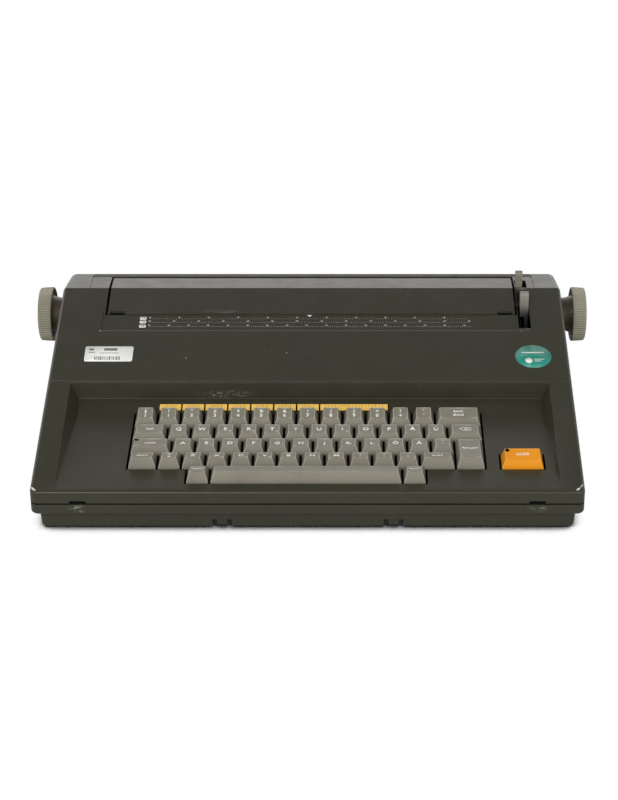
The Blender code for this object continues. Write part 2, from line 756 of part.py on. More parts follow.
def plate_posts():
    """Posts on the base pan that carry the switch plate."""
    posts = []
    spots = ((unit_x(0) + KEY_PITCH / 2, KEY_FRONT_V + BOSS_RADIUS),
             (unit_x(14.5), KEY_FRONT_V + BOSS_RADIUS),
             (unit_x(0) - BOSS_RADIUS / 4, KEY_FRONT_V + ROW_UNITS * KEY_PITCH),
             (unit_x(15) + BOSS_RADIUS, KEY_FRONT_V + ROW_UNITS * KEY_PITCH))
    for x, v in spots:
        _, y, z = on_deck(x, v, -PLATE_DROP - PLATE_THICKNESS)
        top = z - BOSS_RADIUS / 2 * math.tan(DECK_SLOPE) - CLEARANCE
        posts.append(rod("Z", (x, y), BOSS_RADIUS / 2, case_floor_z - OVERLAP, top, 12))
    return posts


def build_base(builder):
    """Lower case with its bosses, foot recesses, notches and vents."""
    outer = tray([(FOOT_STAND, SKIRT_INSET + SKIRT_DRAFT + SKIRT_EDGE),
                  (FOOT_STAND + SKIRT_EDGE, SKIRT_INSET + SKIRT_DRAFT),
                  (SKIRT_HEIGHT, SKIRT_INSET),
                  (SKIRT_HEIGHT + BULGE_STEP, BULGE_ROUND),
                  (SKIRT_HEIGHT + BULGE_ROUND / 2, BULGE_ROUND / 3),
                  (SKIRT_HEIGHT + BULGE_ROUND, 0.0),
                  (SEAM_HEIGHT, 0.0)])
    inner = tray([(case_floor_z, SKIRT_INSET + SKIRT_DRAFT + WALL),
                  (SKIRT_HEIGHT + WALL, SKIRT_INSET + WALL),
                  (SKIRT_HEIGHT + WALL + BULGE_STEP, BULGE_ROUND + WALL),
                  (SKIRT_HEIGHT + BULGE_ROUND + WALL, WALL),
                  (SEAM_HEIGHT + OVERRUN, WALL)])
    low = case_floor_z - OVERLAP
    bosses = []
    for y in (CHASSIS_FRONT_Y + BOSS_INSET, CHASSIS_BACK_Y - BOSS_INSET):
        bosses += both(rod("Z", (BOSS_X, y), BOSS_RADIUS, low, CHASSIS_FLOOR_Z - CLEARANCE, 12))
    for y in (BOARD_FRONT_Y + BOSS_INSET, BOARD_BACK_Y - BOSS_INSET / 2):
        bosses += both(rod("Z", (BOARD_HALF - BOSS_INSET, y), BOSS_RADIUS / 2, low,
                           BOARD_Z - CLEARANCE, 12))
    pedestal = block((TRANSFORMER_X - TRANSFORMER_WIDTH / 2, TRANSFORMER_FRONT_Y, low),
                     (TRANSFORMER_X + TRANSFORMER_WIDTH / 2, TRANSFORMER_FRONT_Y + TRANSFORMER_DEPTH,
                      case_floor_z + PEDESTAL - CLEARANCE))
    feet = []
    for y in (FOOT_FRONT_Y, FOOT_REAR_Y):
        feet += both(rod("Z", (FOOT_X, y), FOOT_RADIUS + CLEARANCE, 0, FOOT_STAND + FOOT_RECESS))
    half = NOTCH_WIDTH / 2
    notch_y = SKIRT_INSET + SKIRT_DRAFT
    notches = both(block((NOTCH_X - half, 0, 0), (NOTCH_X + half, notch_y + NOTCH_DEPTH, NOTCH_HEIGHT)))
    vents = []
    for i in range(VENT_COUNT):
        x = (i - (VENT_COUNT - 1) / 2) * VENT_PITCH
        vents.append(block((x - VENT_WIDTH / 2, VENT_Y, 0),
                           (x + VENT_WIDTH / 2, VENT_Y + VENT_LENGTH, CHASSIS_FLOOR_Z)))
    builder.piece("base_pan", "case", [outer], cut=[[inner], feet, notches, vents])
    return bosses, pedestal


def join_base_details(builder, bosses, pedestal):
    """Bosses and posts stand on the floor after the pan is hollowed."""
    base = bpy.data.objects["base_pan"]
    for group in (bosses, [pedestal], plate_posts()):
        builder.boolean(base, group, "UNION", (0, 0, 0), 0.0)


def build_feet(builder):
    """Four rubber feet in the base pan's recesses."""
    for side, sign in (("left", -1), ("right", 1)):
        for end, y in (("front", FOOT_FRONT_Y), ("rear", FOOT_REAR_Y)):
            top = FOOT_STAND + FOOT_RECESS - CLEARANCE
            profile = [(0.0, FOOT_RADIUS - FOOT_RECESS / 2), (FOOT_RECESS / 2, FOOT_RADIUS),
                       (top, FOOT_RADIUS)]
            foot = turn(profile, "Z", (sign * FOOT_X, y), 20)
            builder.piece(f"foot_{end}_{side}", "rubber", [foot])


def build_bezel(builder):
    """Front upper shell: lip, wings, sunken key deck and ledge."""
    lip_ys = (0.0, LIP_RUN / 4, LIP_RUN, CORNER_RADIUS, BEZEL_BACK_Y)
    drops = (LIP_ROUND, LIP_ROUND / 3, 0.0, 0.0, 0.0)
    rings = []
    for y, drop in zip(lip_ys, drops):
        rings.append(shell_section(y, 0.0, lip=drop + case_top(y) - slope_z(max(y, LIP_RUN))))
    under = [(WALL, 0.0), (WALL, LIP_HEIGHT - WALL), (LIP_RUN + WALL / 2, deck_z(LIP_RUN) - WALL),
             (LEDGE_FRONT_Y, deck_z(LEDGE_FRONT_Y) - WALL),
             (BEZEL_BACK_Y + OVERRUN, ledge_z(RECESS_BACK_Y) - WALL), (BEZEL_BACK_Y + OVERRUN, 0.0)]
    hollow = extrude(under, "X", WALL - half_case, half_case - WALL)
    wing = [(LIP_RUN + WALL, deck_z(LIP_RUN) - 2 * WALL), (LIP_RUN + WALL, slope_z(LIP_RUN + WALL) - WALL),
            (BEZEL_BACK_Y + OVERRUN, slope_z(BEZEL_BACK_Y + OVERRUN) - WALL),
            (BEZEL_BACK_Y + OVERRUN, deck_z(LIP_RUN) - 2 * WALL)]
    wings = both(extrude(wing, "X", RECESS_TOP_X + WING_WALL, half_case - WALL))
    draft = math.tan(RECESS_DRAFT)
    rings_recess = []
    lift = OVERRUN * 2
    recess_start = LIP_RUN - OVERRUN
    for y, z in ((recess_start, deck_z(recess_start)), (LEDGE_FRONT_Y, deck_z(LEDGE_FRONT_Y)),
                 (RECESS_BACK_Y, ledge_z(RECESS_BACK_Y))):
        depth = slope_z(y) - z
        low_half = RECESS_TOP_X - depth * draft
        high_half = RECESS_TOP_X + lift * draft
        high = slope_z(y) + lift
        rings_recess.append([(-low_half, y, z), (low_half, y, z),
                             (high_half, y, high), (-high_half, y, high)])
    main_cuts, space_cuts = key_openings()
    half = LATCH_NOTCH_WIDTH / 2
    latches = both(block((LATCH_NOTCH_X - half, -OVERRUN, 0),
                         (LATCH_NOTCH_X + half, WALL + OVERLAP, shell_z + LATCH_NOTCH_HEIGHT)))
    builder.piece("keyboard_bezel", "case", [loft(rings)],
                  cut=[[hollow], wings, [loft(rings_recess)], main_cuts, space_cuts, latches])


def build_legend_strip(builder):
    """Thin strip on the ledge behind the figure keys."""
    rise, run = math.sin(LEDGE_SLOPE), math.cos(LEDGE_SLOPE)
    start_y = LEDGE_FRONT_Y + STRIP_FRONT
    outline = []
    for along, out in ((0.0, CLEARANCE), (STRIP_LENGTH, CLEARANCE),
                       (STRIP_LENGTH, CLEARANCE + STRIP_THICKNESS), (0.0, CLEARANCE + STRIP_THICKNESS)):
        outline.append((start_y + along * run - out * rise, ledge_z(start_y) + along * rise + out * run))
    strip = extrude(outline, "X", unit_x(1), unit_x(11))
    builder.piece("legend_strip", "strip", [strip])


def panel_shape(front, back, half):
    """Flush panel that follows the case's top line, in sections from front to back."""
    rings = []
    for y in [front] + [y for y in (crease_y, rear_edge_y, slope_end_y) if front < y < back] + [back]:
        top = case_top(y)
        rings.append([(-half, y, top - WALL), (half, y, top - WALL), (half, y, top), (-half, y, top)])
    return loft(rings)


def build_cover(builder):
    """Rear upper shell with all its openings, brackets and pads."""
    front = BEZEL_BACK_Y + CLEARANCE
    wall_y = CASE_DEPTH - REAR_ROUND
    flat_steps = (crease_y + TOP_FLAT / 2, rear_edge_y) + tuple(y for y in (slope_end_y,) if y < wall_y)
    outer_ys = (front, crease_y) + flat_steps + (wall_y, CASE_DEPTH - REAR_ROUND / 3, CASE_DEPTH)
    inner_ys = (front - OVERRUN, crease_y) + flat_steps + (CASE_DEPTH - WALL,)
    outer = loft([shell_section(y, 0.0) for y in outer_ys])
    inner_rings = [shell_section(min(y, wall_y), WALL, low=0.0) for y in inner_ys]
    inner_rings[-1] = [(x, inner_ys[-1], z) for x, _, z in inner_rings[-1]]
    inner = loft(inner_rings)
    high, low = TOP_HEIGHT + OVERRUN, case_top(SUPPORT_BACK_Y) - 2 * WALL
    lid_half = LID_HALF_WIDTH + LID_SIDE_GAP
    lid_hole = block((-lid_half, LID_FRONT_Y, low), (lid_half, LID_BACK_Y + PAPER_SLOT, high))
    support_half = SUPPORT_HALF_WIDTH + SUPPORT_GAP
    support_hole = block((-support_half, LID_BACK_Y + PAPER_SLOT - SUPPORT_GAP, low),
                         (support_half, SUPPORT_BACK_Y + SUPPORT_BACK_GAP, high))
    scale = [(SCALE_FRONT_Y, slope_z(SCALE_FRONT_Y) - SCALE_DEPTH),
             (LID_FRONT_Y + OVERLAP, slope_z(LID_FRONT_Y + OVERLAP) - SCALE_DEPTH),
             (LID_FRONT_Y + OVERLAP, slope_z(LID_FRONT_Y) + OVERRUN),
             (SCALE_FRONT_Y, slope_z(SCALE_FRONT_Y) + OVERRUN)]
    half_slot = LEVER_SLOT_WIDTH / 2
    levers = [block((LEVER_SLOT_X - half_slot, y0, low), (LEVER_SLOT_X + half_slot, y1, high))
              for y0, y1 in ((LEVER_SLOT_FRONT_Y, LEVER_SLOT_BACK_Y), (BAIL_SLOT_FRONT_Y, BAIL_SLOT_BACK_Y))]
    shaft_holes = both(rod("X", (PLATEN_Y, PLATEN_Z), SHAFT_HOLE,
                           half_case - REAR_TAPER - 2 * WALL, half_case + OVERRUN))
    lid_body, lid_bore = hinge_bracket(lid_half, *lid_axis())
    flap_body, flap_bore = hinge_bracket(support_half, *support_axis())
    pad_front = CASE_DEPTH - SWITCH_PAD_DEPTH
    pad = block((SWITCH_X - SWITCH_WIDTH / 2 - SWITCH_PAD, pad_front,
                 SWITCH_Z - SWITCH_HEIGHT / 2 - SWITCH_PAD),
                (SWITCH_X + SWITCH_WIDTH / 2 + SWITCH_PAD, CASE_DEPTH - WALL + OVERLAP,
                 SWITCH_Z + SWITCH_HEIGHT / 2 + SWITCH_PAD))
    gap = SWITCH_GAP
    switch_hole = block((SWITCH_X - SWITCH_WIDTH / 2 - gap, pad_front - OVERRUN,
                         SWITCH_Z - SWITCH_HEIGHT / 2 - gap),
                        (SWITCH_X + SWITCH_WIDTH / 2 + gap, CASE_DEPTH + OVERRUN,
                         SWITCH_Z + SWITCH_HEIGHT / 2 + gap))
    reach = SWITCH_WIDTH / 2 + SWITCH_PIN_LENGTH + CLEARANCE
    sockets = rod("X", switch_axis(), PIN_RADIUS + CLEARANCE, SWITCH_X - reach, SWITCH_X + reach, 12)
    inlet_hole = block((INLET_X - INLET_WIDTH / 2 - CLEARANCE, CASE_DEPTH - INLET_DEPTH,
                        INLET_Z - INLET_HEIGHT / 2 - CLEARANCE),
                       (INLET_X + INLET_WIDTH / 2 + CLEARANCE, CASE_DEPTH + OVERRUN,
                        INLET_Z + INLET_HEIGHT / 2 + CLEARANCE))
    builder.piece("top_cover", "case", [outer], cut=[[inner]])
    cover = bpy.data.objects["top_cover"]
    for group in (lid_body, flap_body, [pad]):
        builder.boolean(cover, group, "UNION", (0, 0, 0), 0.0)
    for group in (lid_bore, flap_bore, [lid_hole], [support_hole],
                  [extrude(scale, "X", -SCALE_HALF_WIDTH, SCALE_HALF_WIDTH)],
                  levers, shaft_holes, [switch_hole, inlet_hole], [sockets]):
        builder.boolean(cover, group, "DIFFERENCE", (0, 0, 0), 0.0)


def lid_axis():
    """Hinge axis of the lid, in the side plane."""
    return LID_BACK_Y - HINGE_INSET, TOP_HEIGHT - HINGE_DEPTH


def support_axis():
    """Hinge axis of the paper support, in the side plane."""
    y = SUPPORT_BACK_Y - SUPPORT_HINGE_INSET
    return y, case_top(y) - HINGE_DEPTH


def switch_axis():
    """Pivot of the power switch, in the side plane."""
    return CASE_DEPTH - SWITCH_PAD_DEPTH / 2, SWITCH_Z


def build_panels(builder):
    """Access lid and paper support, each with its hinge ears and pins."""
    lid_y, lid_z = lid_axis()
    lid = panel_shape(LID_FRONT_Y + LID_FRONT_GAP, LID_BACK_Y, LID_HALF_WIDTH)
    ears, pins = hinge_ear(LID_HALF_WIDTH - EAR_INSET, lid_y, lid_z, LID_HALF_WIDTH + LID_SIDE_GAP)
    grip_z = case_top(LID_FRONT_Y)
    grips = both(block((LID_HALF_WIDTH - FINGER_NOTCH, LID_FRONT_Y - OVERRUN, grip_z - 2 * WALL),
                       (LID_HALF_WIDTH + OVERRUN, LID_FRONT_Y + FINGER_NOTCH_DEPTH, grip_z + 2 * WALL)))
    builder.piece("access_lid", "case", [lid], join=[ears, pins], cut=[grips], origin=(0, lid_y, lid_z))
    flap_y, flap_z = support_axis()
    flap = panel_shape(LID_BACK_Y + PAPER_SLOT, SUPPORT_BACK_Y, SUPPORT_HALF_WIDTH)
    ears, pins = hinge_ear(SUPPORT_HALF_WIDTH - EAR_INSET, flap_y, flap_z, SUPPORT_HALF_WIDTH + SUPPORT_GAP)
    builder.piece("paper_support", "case", [flap], join=[ears, pins], origin=(0, flap_y, flap_z))


def build_power(builder):
    """Power inlet and rocker switch in the rear wall."""
    face = CASE_DEPTH
    half_w, half_h = INLET_WIDTH / 2, INLET_HEIGHT / 2
    body = block((INLET_X - half_w, face - INLET_DEPTH, INLET_Z - half_h),
                 (INLET_X + half_w, face, INLET_Z + half_h))
    inner = face - WALL - CLEARANCE
    rim_w, rim_h = half_w + INLET_FLANGE, half_h + INLET_FLANGE
    rim = block((INLET_X - rim_w, inner - INLET_FLANGE_DEPTH, INLET_Z - rim_h),
                (INLET_X + rim_w, inner, INLET_Z + rim_h))
    margin = INLET_SOCKET_MARGIN
    socket = block((INLET_X - half_w + margin, face - INLET_SOCKET_DEPTH, INLET_Z - half_h + margin),
                   (INLET_X + half_w - margin, face + OVERRUN, INLET_Z + half_h - margin))
    start = face - INLET_SOCKET_DEPTH - OVERLAP
    pins = [rod("Y", (INLET_X + side * INLET_PIN_SPACING / 2, INLET_Z), INLET_PIN_RADIUS,
                start, start + INLET_PIN_LENGTH, 10) for side in (-1, 1)]
    builder.piece("power_inlet", "black_plastic", [body], join=[[rim]], cut=[[socket]])
    builder.boolean(bpy.data.objects["power_inlet"], pins, "UNION", (0, 0, 0), 0.0)
    pivot_y, pivot_z = switch_axis()
    half = SWITCH_HEIGHT / 2
    dip = SWITCH_BULGE
    outline = [(face - SWITCH_DEPTH, pivot_z - half + dip), (face - dip, pivot_z - half),
               (face - dip - dip / 2, pivot_z), (face - dip, pivot_z + half),
               (face - SWITCH_DEPTH, pivot_z + half - dip)]
    rocker = extrude(outline, "X", SWITCH_X - SWITCH_WIDTH / 2, SWITCH_X + SWITCH_WIDTH / 2)
    reach = SWITCH_WIDTH / 2 + SWITCH_PIN_LENGTH
    pin = rod("X", (pivot_y, pivot_z), PIN_RADIUS, SWITCH_X - reach, SWITCH_X + reach, 12)
    builder.piece("power_switch", "black_plastic", [rocker], join=[[pin]],
                  origin=(SWITCH_X, pivot_y, pivot_z))


def gear_outline(teeth, centre, phase):
    """Gear outline with plain trapezoid teeth, in the side plane."""
    pitch = GEAR_MODULE * teeth / 2
    outer, inner = pitch + GEAR_MODULE - TOOTH_RELIEF, pitch - GEAR_MODULE * 1.25
    step = 2 * math.pi / teeth
    outline = []
    for i in range(teeth):
        for share, radius in ((-0.34, inner), (-0.12, outer), (0.12, outer), (0.34, inner)):
            angle = phase + (i + share) * step
            outline.append((centre[0] + radius * math.cos(angle), centre[1] + radius * math.sin(angle)))
    return outline


def pinion_centre():
    """Place of the line feed pinion, in the side plane."""
    distance = GEAR_MODULE * (GEAR_TEETH + PINION_TEETH) / 2
    return PLATEN_Y + distance * math.cos(MESH_ANGLE), PLATEN_Z + distance * math.sin(MESH_ANGLE)


def feed_centre():
    """Place of the feed roller shaft, in the side plane."""
    return PLATEN_Y, PLATEN_Z - PLATEN_RADIUS - FEED_ROLLER_RADIUS - CLEARANCE


def build_platen(builder):
    """Platen roller on its shaft, knobs, gear and line feed motor."""
    centre = (PLATEN_Y, PLATEN_Z)
    axis = (0, PLATEN_Y, PLATEN_Z)
    grip = SHAFT_RADIUS + CLEARANCE
    bore = rod("X", centre, grip, -PLATEN_HALF - OVERRUN, PLATEN_HALF + OVERRUN)
    roller = rod("X", centre, PLATEN_RADIUS, -PLATEN_HALF, PLATEN_HALF, 40)
    builder.piece("platen_roller", "rubber", [roller], cut=[[bore]], origin=axis)
    cup = KNOB_OUTER_X - KNOB_CUP_DEPTH
    shaft_end = cup - CLEARANCE
    shaft = rod("X", centre, SHAFT_RADIUS, -shaft_end, shaft_end, 20)
    builder.piece("platen_shaft", "steel", [shaft], origin=axis)
    inner = KNOB_OUTER_X - KNOB_RIM
    neck = half_case + KNOB_GAP
    profile = [(neck, KNOB_WAIST), (neck + KNOB_GAP, KNOB_WAIST), (inner - KNOB_CHAMFER, KNOB_NECK),
               (inner, KNOB_RADIUS - KNOB_CHAMFER), (inner + KNOB_CHAMFER, KNOB_RADIUS),
               (KNOB_OUTER_X - KNOB_CHAMFER, KNOB_RADIUS - KNOB_TAPER),
               (KNOB_OUTER_X, KNOB_RADIUS - KNOB_TAPER - KNOB_CHAMFER), (KNOB_OUTER_X, KNOB_CUP_RADIUS),
               (cup, KNOB_CUP_RADIUS - KNOB_CHAMFER), (cup, KNOB_BOSS_RADIUS),
               (cup + KNOB_BOSS_DROP, KNOB_BOSS_RADIUS - KNOB_CHAMFER)]
    knob = turn(profile, "X", centre, 28)
    socket = rod("X", centre, grip, half_case - REAR_TAPER, shaft_end + CLEARANCE, 20)
    builder.piece("right_knob", "lever", [knob], cut=[[socket]], origin=axis)
    builder.piece("left_knob", "lever", [mirrored(knob)], cut=[[mirrored(socket)]], origin=axis)
    gear_x = -CHASSIS_HALF - GEAR_GAP
    ring = extrude(gear_outline(GEAR_TEETH, centre, MESH_ANGLE), "X", gear_x - GEAR_WIDTH, gear_x)
    hole = rod("X", centre, grip, gear_x - GEAR_WIDTH - OVERRUN, gear_x + OVERRUN)
    builder.piece("platen_gear", "white_plastic", [ring], cut=[[hole]], origin=axis)
    pinion = pinion_centre()
    phase = MESH_ANGLE + math.pi + math.pi / PINION_TEETH
    teeth = extrude(gear_outline(PINION_TEETH, pinion, phase), "X", gear_x - GEAR_WIDTH, gear_x)
    hole = rod("X", pinion, FEED_MOTOR_SHAFT + CLEARANCE, gear_x - GEAR_WIDTH - OVERRUN, gear_x + OVERRUN, 12)
    builder.piece("motor_pinion", "white_plastic", [teeth], cut=[[hole]], origin=(0, *pinion))
    motor_x = -CHASSIS_HALF + SHEET + CLEARANCE
    body = rod("X", pinion, FEED_MOTOR_RADIUS, motor_x, motor_x + FEED_MOTOR_LENGTH, 28)
    shaft = rod("X", pinion, FEED_MOTOR_SHAFT, gear_x - GEAR_WIDTH, motor_x + OVERLAP, 12)
    builder.piece("line_feed_motor", "steel", [body], join=[[shaft]])


def build_feed(builder):
    """Feed roller shaft under the platen and the curved paper pan."""
    centre = feed_centre()
    end = CHASSIS_HALF + OVERLAP
    shaft = rod("X", centre, FEED_SHAFT_RADIUS, -end, end, 12)
    places = [(i - (FEED_ROLLER_COUNT - 1) / 2) * FEED_ROLLER_PITCH for i in range(FEED_ROLLER_COUNT)]
    half = FEED_ROLLER_LENGTH / 2
    rollers = [rod("X", centre, FEED_ROLLER_RADIUS, x - half, x + half, 14) for x in places]
    builder.piece("feed_roller_shaft", "rubber", [shaft], join=[rollers], origin=(0, *centre))

    inner = PLATEN_RADIUS + PAN_GAP
    outer = inner + PAN_THICKNESS
    rings = []
    for i in range(PAN_STEPS + 1):
        angle = PAN_START + (PAN_END - PAN_START) * i / PAN_STEPS
        rings.append([(x, PLATEN_Y + radius * math.cos(angle), PLATEN_Z + radius * math.sin(angle))
                      for x, radius in ((-PLATEN_HALF, inner), (PLATEN_HALF, inner),
                                        (PLATEN_HALF, outer), (-PLATEN_HALF, outer))])
    pan = loft(rings)
    tab_z = PLATEN_Z - outer + PAN_TAB_RISE
    tabs = both(block((PLATEN_HALF - PAN_TAB_ROOT, PLATEN_Y - PAN_TAB_WIDTH / 2, tab_z),
                      (CHASSIS_HALF - SHEET - CLEARANCE, PLATEN_Y + PAN_TAB_WIDTH / 2,
                       tab_z + PAN_TAB_THICKNESS)))
    margin = PAN_SLOT_MARGIN
    reach = FEED_ROLLER_RADIUS + margin
    slots = [block((x - half - margin, centre[0] - reach, centre[1] - reach),
                   (x + half + margin, centre[0] + reach, PLATEN_Z)) for x in places]
    builder.piece("paper_pan", "steel", [pan], join=[tabs], cut=[slots])


def build_chassis(builder):
    """Pressed frame that carries the platen, rail, motors and levers."""
    half, floor = CHASSIS_HALF, CHASSIS_FLOOR_Z
    plate = block((-half, CHASSIS_FRONT_Y, floor), (half, CHASSIS_BACK_Y, floor + SHEET))
    side = [(SIDE_FRONT_Y, floor + OVERLAP), (CHASSIS_BACK_Y, floor + OVERLAP),
            (CHASSIS_BACK_Y, SIDE_TOP_Z - SIDE_SHOULDER / 2),
            (CHASSIS_BACK_Y - SIDE_SHOULDER / 2, SIDE_TOP_Z),
            (SIDE_FRONT_Y + SIDE_SHOULDER, SIDE_TOP_Z), (SIDE_FRONT_Y, SIDE_TOP_Z - SIDE_SHOULDER)]
    sides = both(extrude(side, "X", half - SHEET, half))
    flange = block((-half, CHASSIS_FRONT_Y, floor + OVERLAP), (half, CHASSIS_FRONT_Y + SHEET, FLANGE_TOP_Z))
    rear = block((-half, CHASSIS_BACK_Y - SHEET, floor + OVERLAP), (half, CHASSIS_BACK_Y, REAR_FLANGE_Z))
    ends = (half - SHEET - OVERRUN, half + OVERRUN)
    holes = []
    for centre, radius in (((PLATEN_Y, PLATEN_Z), SHAFT_RADIUS), (feed_centre(), FEED_SHAFT_RADIUS),
                           ((RAIL_Y, RAIL_Z), RAIL_RADIUS), (pinion_centre(), FEED_MOTOR_SHAFT),
                           ((RELEASE_PIVOT_Y, RELEASE_PIVOT_Z), LEVER_PIN),
                           ((BAIL_PIVOT_Y, BAIL_PIVOT_Z), LEVER_PIN)):
        holes += both(rod("X", centre, radius + CLEARANCE, *ends, 14))
    motor_ends = (CHASSIS_FRONT_Y - OVERRUN, CHASSIS_FRONT_Y + SHEET + OVERRUN)
    drive_hole = rod("Y", (-PULLEY_X, BELT_Z), PULLEY_SHAFT + CLEARANCE, *motor_ends, 12)
    idler_end = BELT_Y + BELT_WIDTH / 2 + CLEARANCE + 2 * PULLEY_FLANGE_WIDTH
    idler_axle = rod("Y", (PULLEY_X, BELT_Z), PULLEY_SHAFT, CHASSIS_FRONT_Y + OVERLAP, idler_end, 12)
    builder.piece("chassis", "steel", [plate], join=[sides, [flange], [rear], [idler_axle]],
                  cut=[holes, [drive_hole]])
    end = half + OVERLAP
    builder.piece("carriage_rail", "steel", [rod("X", (RAIL_Y, RAIL_Z), RAIL_RADIUS, -end, end, 20)])


def build_carriage(builder):
    """Carriage with its bearing, shoe and belt clamp, and what it carries."""
    half = CARRIAGE_HALF
    wheel_z = PLATEN_Z - WHEEL_DROP
    wall_back = CARRIAGE_WALL_Y + CARRIAGE_WALL
    wall = block((-half, CARRIAGE_WALL_Y, CARRIAGE_FLOOR_Z), (half, wall_back, CARRIAGE_TOP_Z))
    bearing = block((-half, CARRIAGE_FRONT_Y, RAIL_Z - RAIL_RADIUS * 3),
                    (half, CARRIAGE_WALL_Y + OVERLAP, RAIL_Z + RAIL_RADIUS * 2))
    shoe_back = CHASSIS_FRONT_Y + SHEET + SHOE_DEPTH
    arm_z = FLANGE_TOP_Z + CLEARANCE
    arm = block((-half, CHASSIS_FRONT_Y - SHOE_DEPTH, arm_z),
                (half, CARRIAGE_WALL_Y + OVERLAP, arm_z + SHOE_TOP))
    lips = [block((-half, y0, arm_z - SHOE_HEIGHT), (half, y1, arm_z + OVERLAP))
            for y0, y1 in ((CHASSIS_FRONT_Y - SHOE_DEPTH, CHASSIS_FRONT_Y - CLEARANCE),
                           (CHASSIS_FRONT_Y + SHEET + CLEARANCE, shoe_back - SHOE_DEPTH / 2))]
    belt_top = BELT_Z + PULLEY_RADIUS + CLEARANCE
    grip = CLAMP_WALL + CLEARANCE
    clamp = block((-CLAMP_WIDTH / 2, BELT_Y - BELT_WIDTH / 2 - grip, belt_top - grip),
                  (CLAMP_WIDTH / 2, CARRIAGE_FRONT_Y + OVERLAP, belt_top + BELT_THICKNESS + grip))
    gap_half = BELT_WIDTH / 2 + CLEARANCE
    belt_gap = block((-CLAMP_WIDTH, BELT_Y - gap_half, belt_top - CLEARANCE),
                     (CLAMP_WIDTH, BELT_Y + gap_half, belt_top + BELT_THICKNESS + CLEARANCE))
    ends = (-half - OVERRUN, half + OVERRUN)
    rail_hole = rod("X", (RAIL_Y, RAIL_Z), RAIL_RADIUS + CLEARANCE, *ends, 20)
    hub = (0, wheel_z)
    through = (CARRIAGE_WALL_Y - OVERRUN, wall_back + OVERRUN)
    coil = rod("Y", (0, PLATEN_Z), HAMMER_BODY_RADIUS, wall_back - OVERLAP,
               wall_back + HAMMER_BODY_LENGTH, 20)
    hammer_hole = rod("Y", (0, PLATEN_Z), HAMMER_RADIUS + CLEARANCE, CARRIAGE_WALL_Y - OVERRUN,
                      wall_back + HAMMER_BODY_LENGTH + OVERRUN, 16)
    neck = block((-HAMMER_BODY_RADIUS, CARRIAGE_WALL_Y, CARRIAGE_TOP_Z - OVERLAP),
                 (HAMMER_BODY_RADIUS, wall_back, PLATEN_Z + HAMMER_BODY_RADIUS))
    shaft_hole = rod("Y", hub, WHEEL_MOTOR_SHAFT + CLEARANCE, *through, 12)
    builder.piece("carriage", "black_plastic", [wall],
                  join=[[bearing], [arm], lips, [clamp], [neck], [coil]],
                  cut=[[rail_hole], [belt_gap], [hammer_hole], [shaft_hole]])
    motor_y = wall_back + CLEARANCE
    body = rod("Y", hub, WHEEL_MOTOR_RADIUS, motor_y, motor_y + WHEEL_MOTOR_LENGTH, 24)
    tail = rod("Y", hub, WHEEL_MOTOR_SHAFT, CARRIAGE_WALL_Y, motor_y + OVERLAP, 12)
    nose = rod("Y", hub, WHEEL_MOTOR_SHAFT, motor_y + WHEEL_MOTOR_LENGTH - OVERLAP,
               WHEEL_Y + WHEEL_THICKNESS, 12)
    builder.piece("wheel_motor", "steel", [body], join=[[tail, nose]])
    outline = []
    step = 2 * math.pi / WHEEL_PETALS
    for i in range(WHEEL_PETALS):
        for share, radius in ((-0.30, WHEEL_RADIUS), (0.30, WHEEL_RADIUS),
                              (0.30, WHEEL_WEB_RADIUS), (0.70, WHEEL_WEB_RADIUS)):
            angle = math.pi / 2 + (i + share) * step
            outline.append((radius * math.cos(angle), wheel_z + radius * math.sin(angle)))
    disc = extrude(outline, "Y", WHEEL_Y, WHEEL_Y + WHEEL_THICKNESS)
    wheel_back = WHEEL_Y + WHEEL_THICKNESS
    hub_body = rod("Y", hub, WHEEL_HUB_RADIUS, WHEEL_Y - WHEEL_HUB_FRONT, wheel_back + OVERLAP, 24)
    bore = rod("Y", hub, WHEEL_MOTOR_SHAFT + CLEARANCE, WHEEL_Y - OVERRUN, wheel_back + OVERRUN, 12)
    builder.piece("daisy_wheel", "black_plastic", [disc], join=[[hub_body]], cut=[[bore]],
                  origin=(0, WHEEL_Y, wheel_z))
    tip = WHEEL_Y - HAMMER_GAP
    builder.piece("print_hammer", "steel",
                  [rod("Y", (0, PLATEN_Z), HAMMER_RADIUS, tip - HAMMER_LENGTH, tip, 16)],
                  origin=(0, tip, PLATEN_Z))
    build_cassette(builder)


def build_cassette(builder):
    """Ribbon cassette over the carriage, with an arm each side of the hammer."""
    low = PLATEN_Z + HAMMER_BODY_RADIUS + CLEARANCE
    half = CASSETTE_HALF
    body = block((-half, CASSETTE_FRONT_Y, low), (half, CASSETTE_BACK_Y, low + CASSETTE_HEIGHT))
    arms = both(block((half / 2, CASSETTE_BACK_Y - OVERLAP, low - CASSETTE_ARM_DROP),
                      (half / 2 + CASSETTE_ARM, CASSETTE_BACK_Y + CASSETTE_ARM_REACH,
                       low + CASSETTE_HEIGHT / 2)))
    builder.piece("ribbon_cassette", "black_plastic", [body], join=[arms])


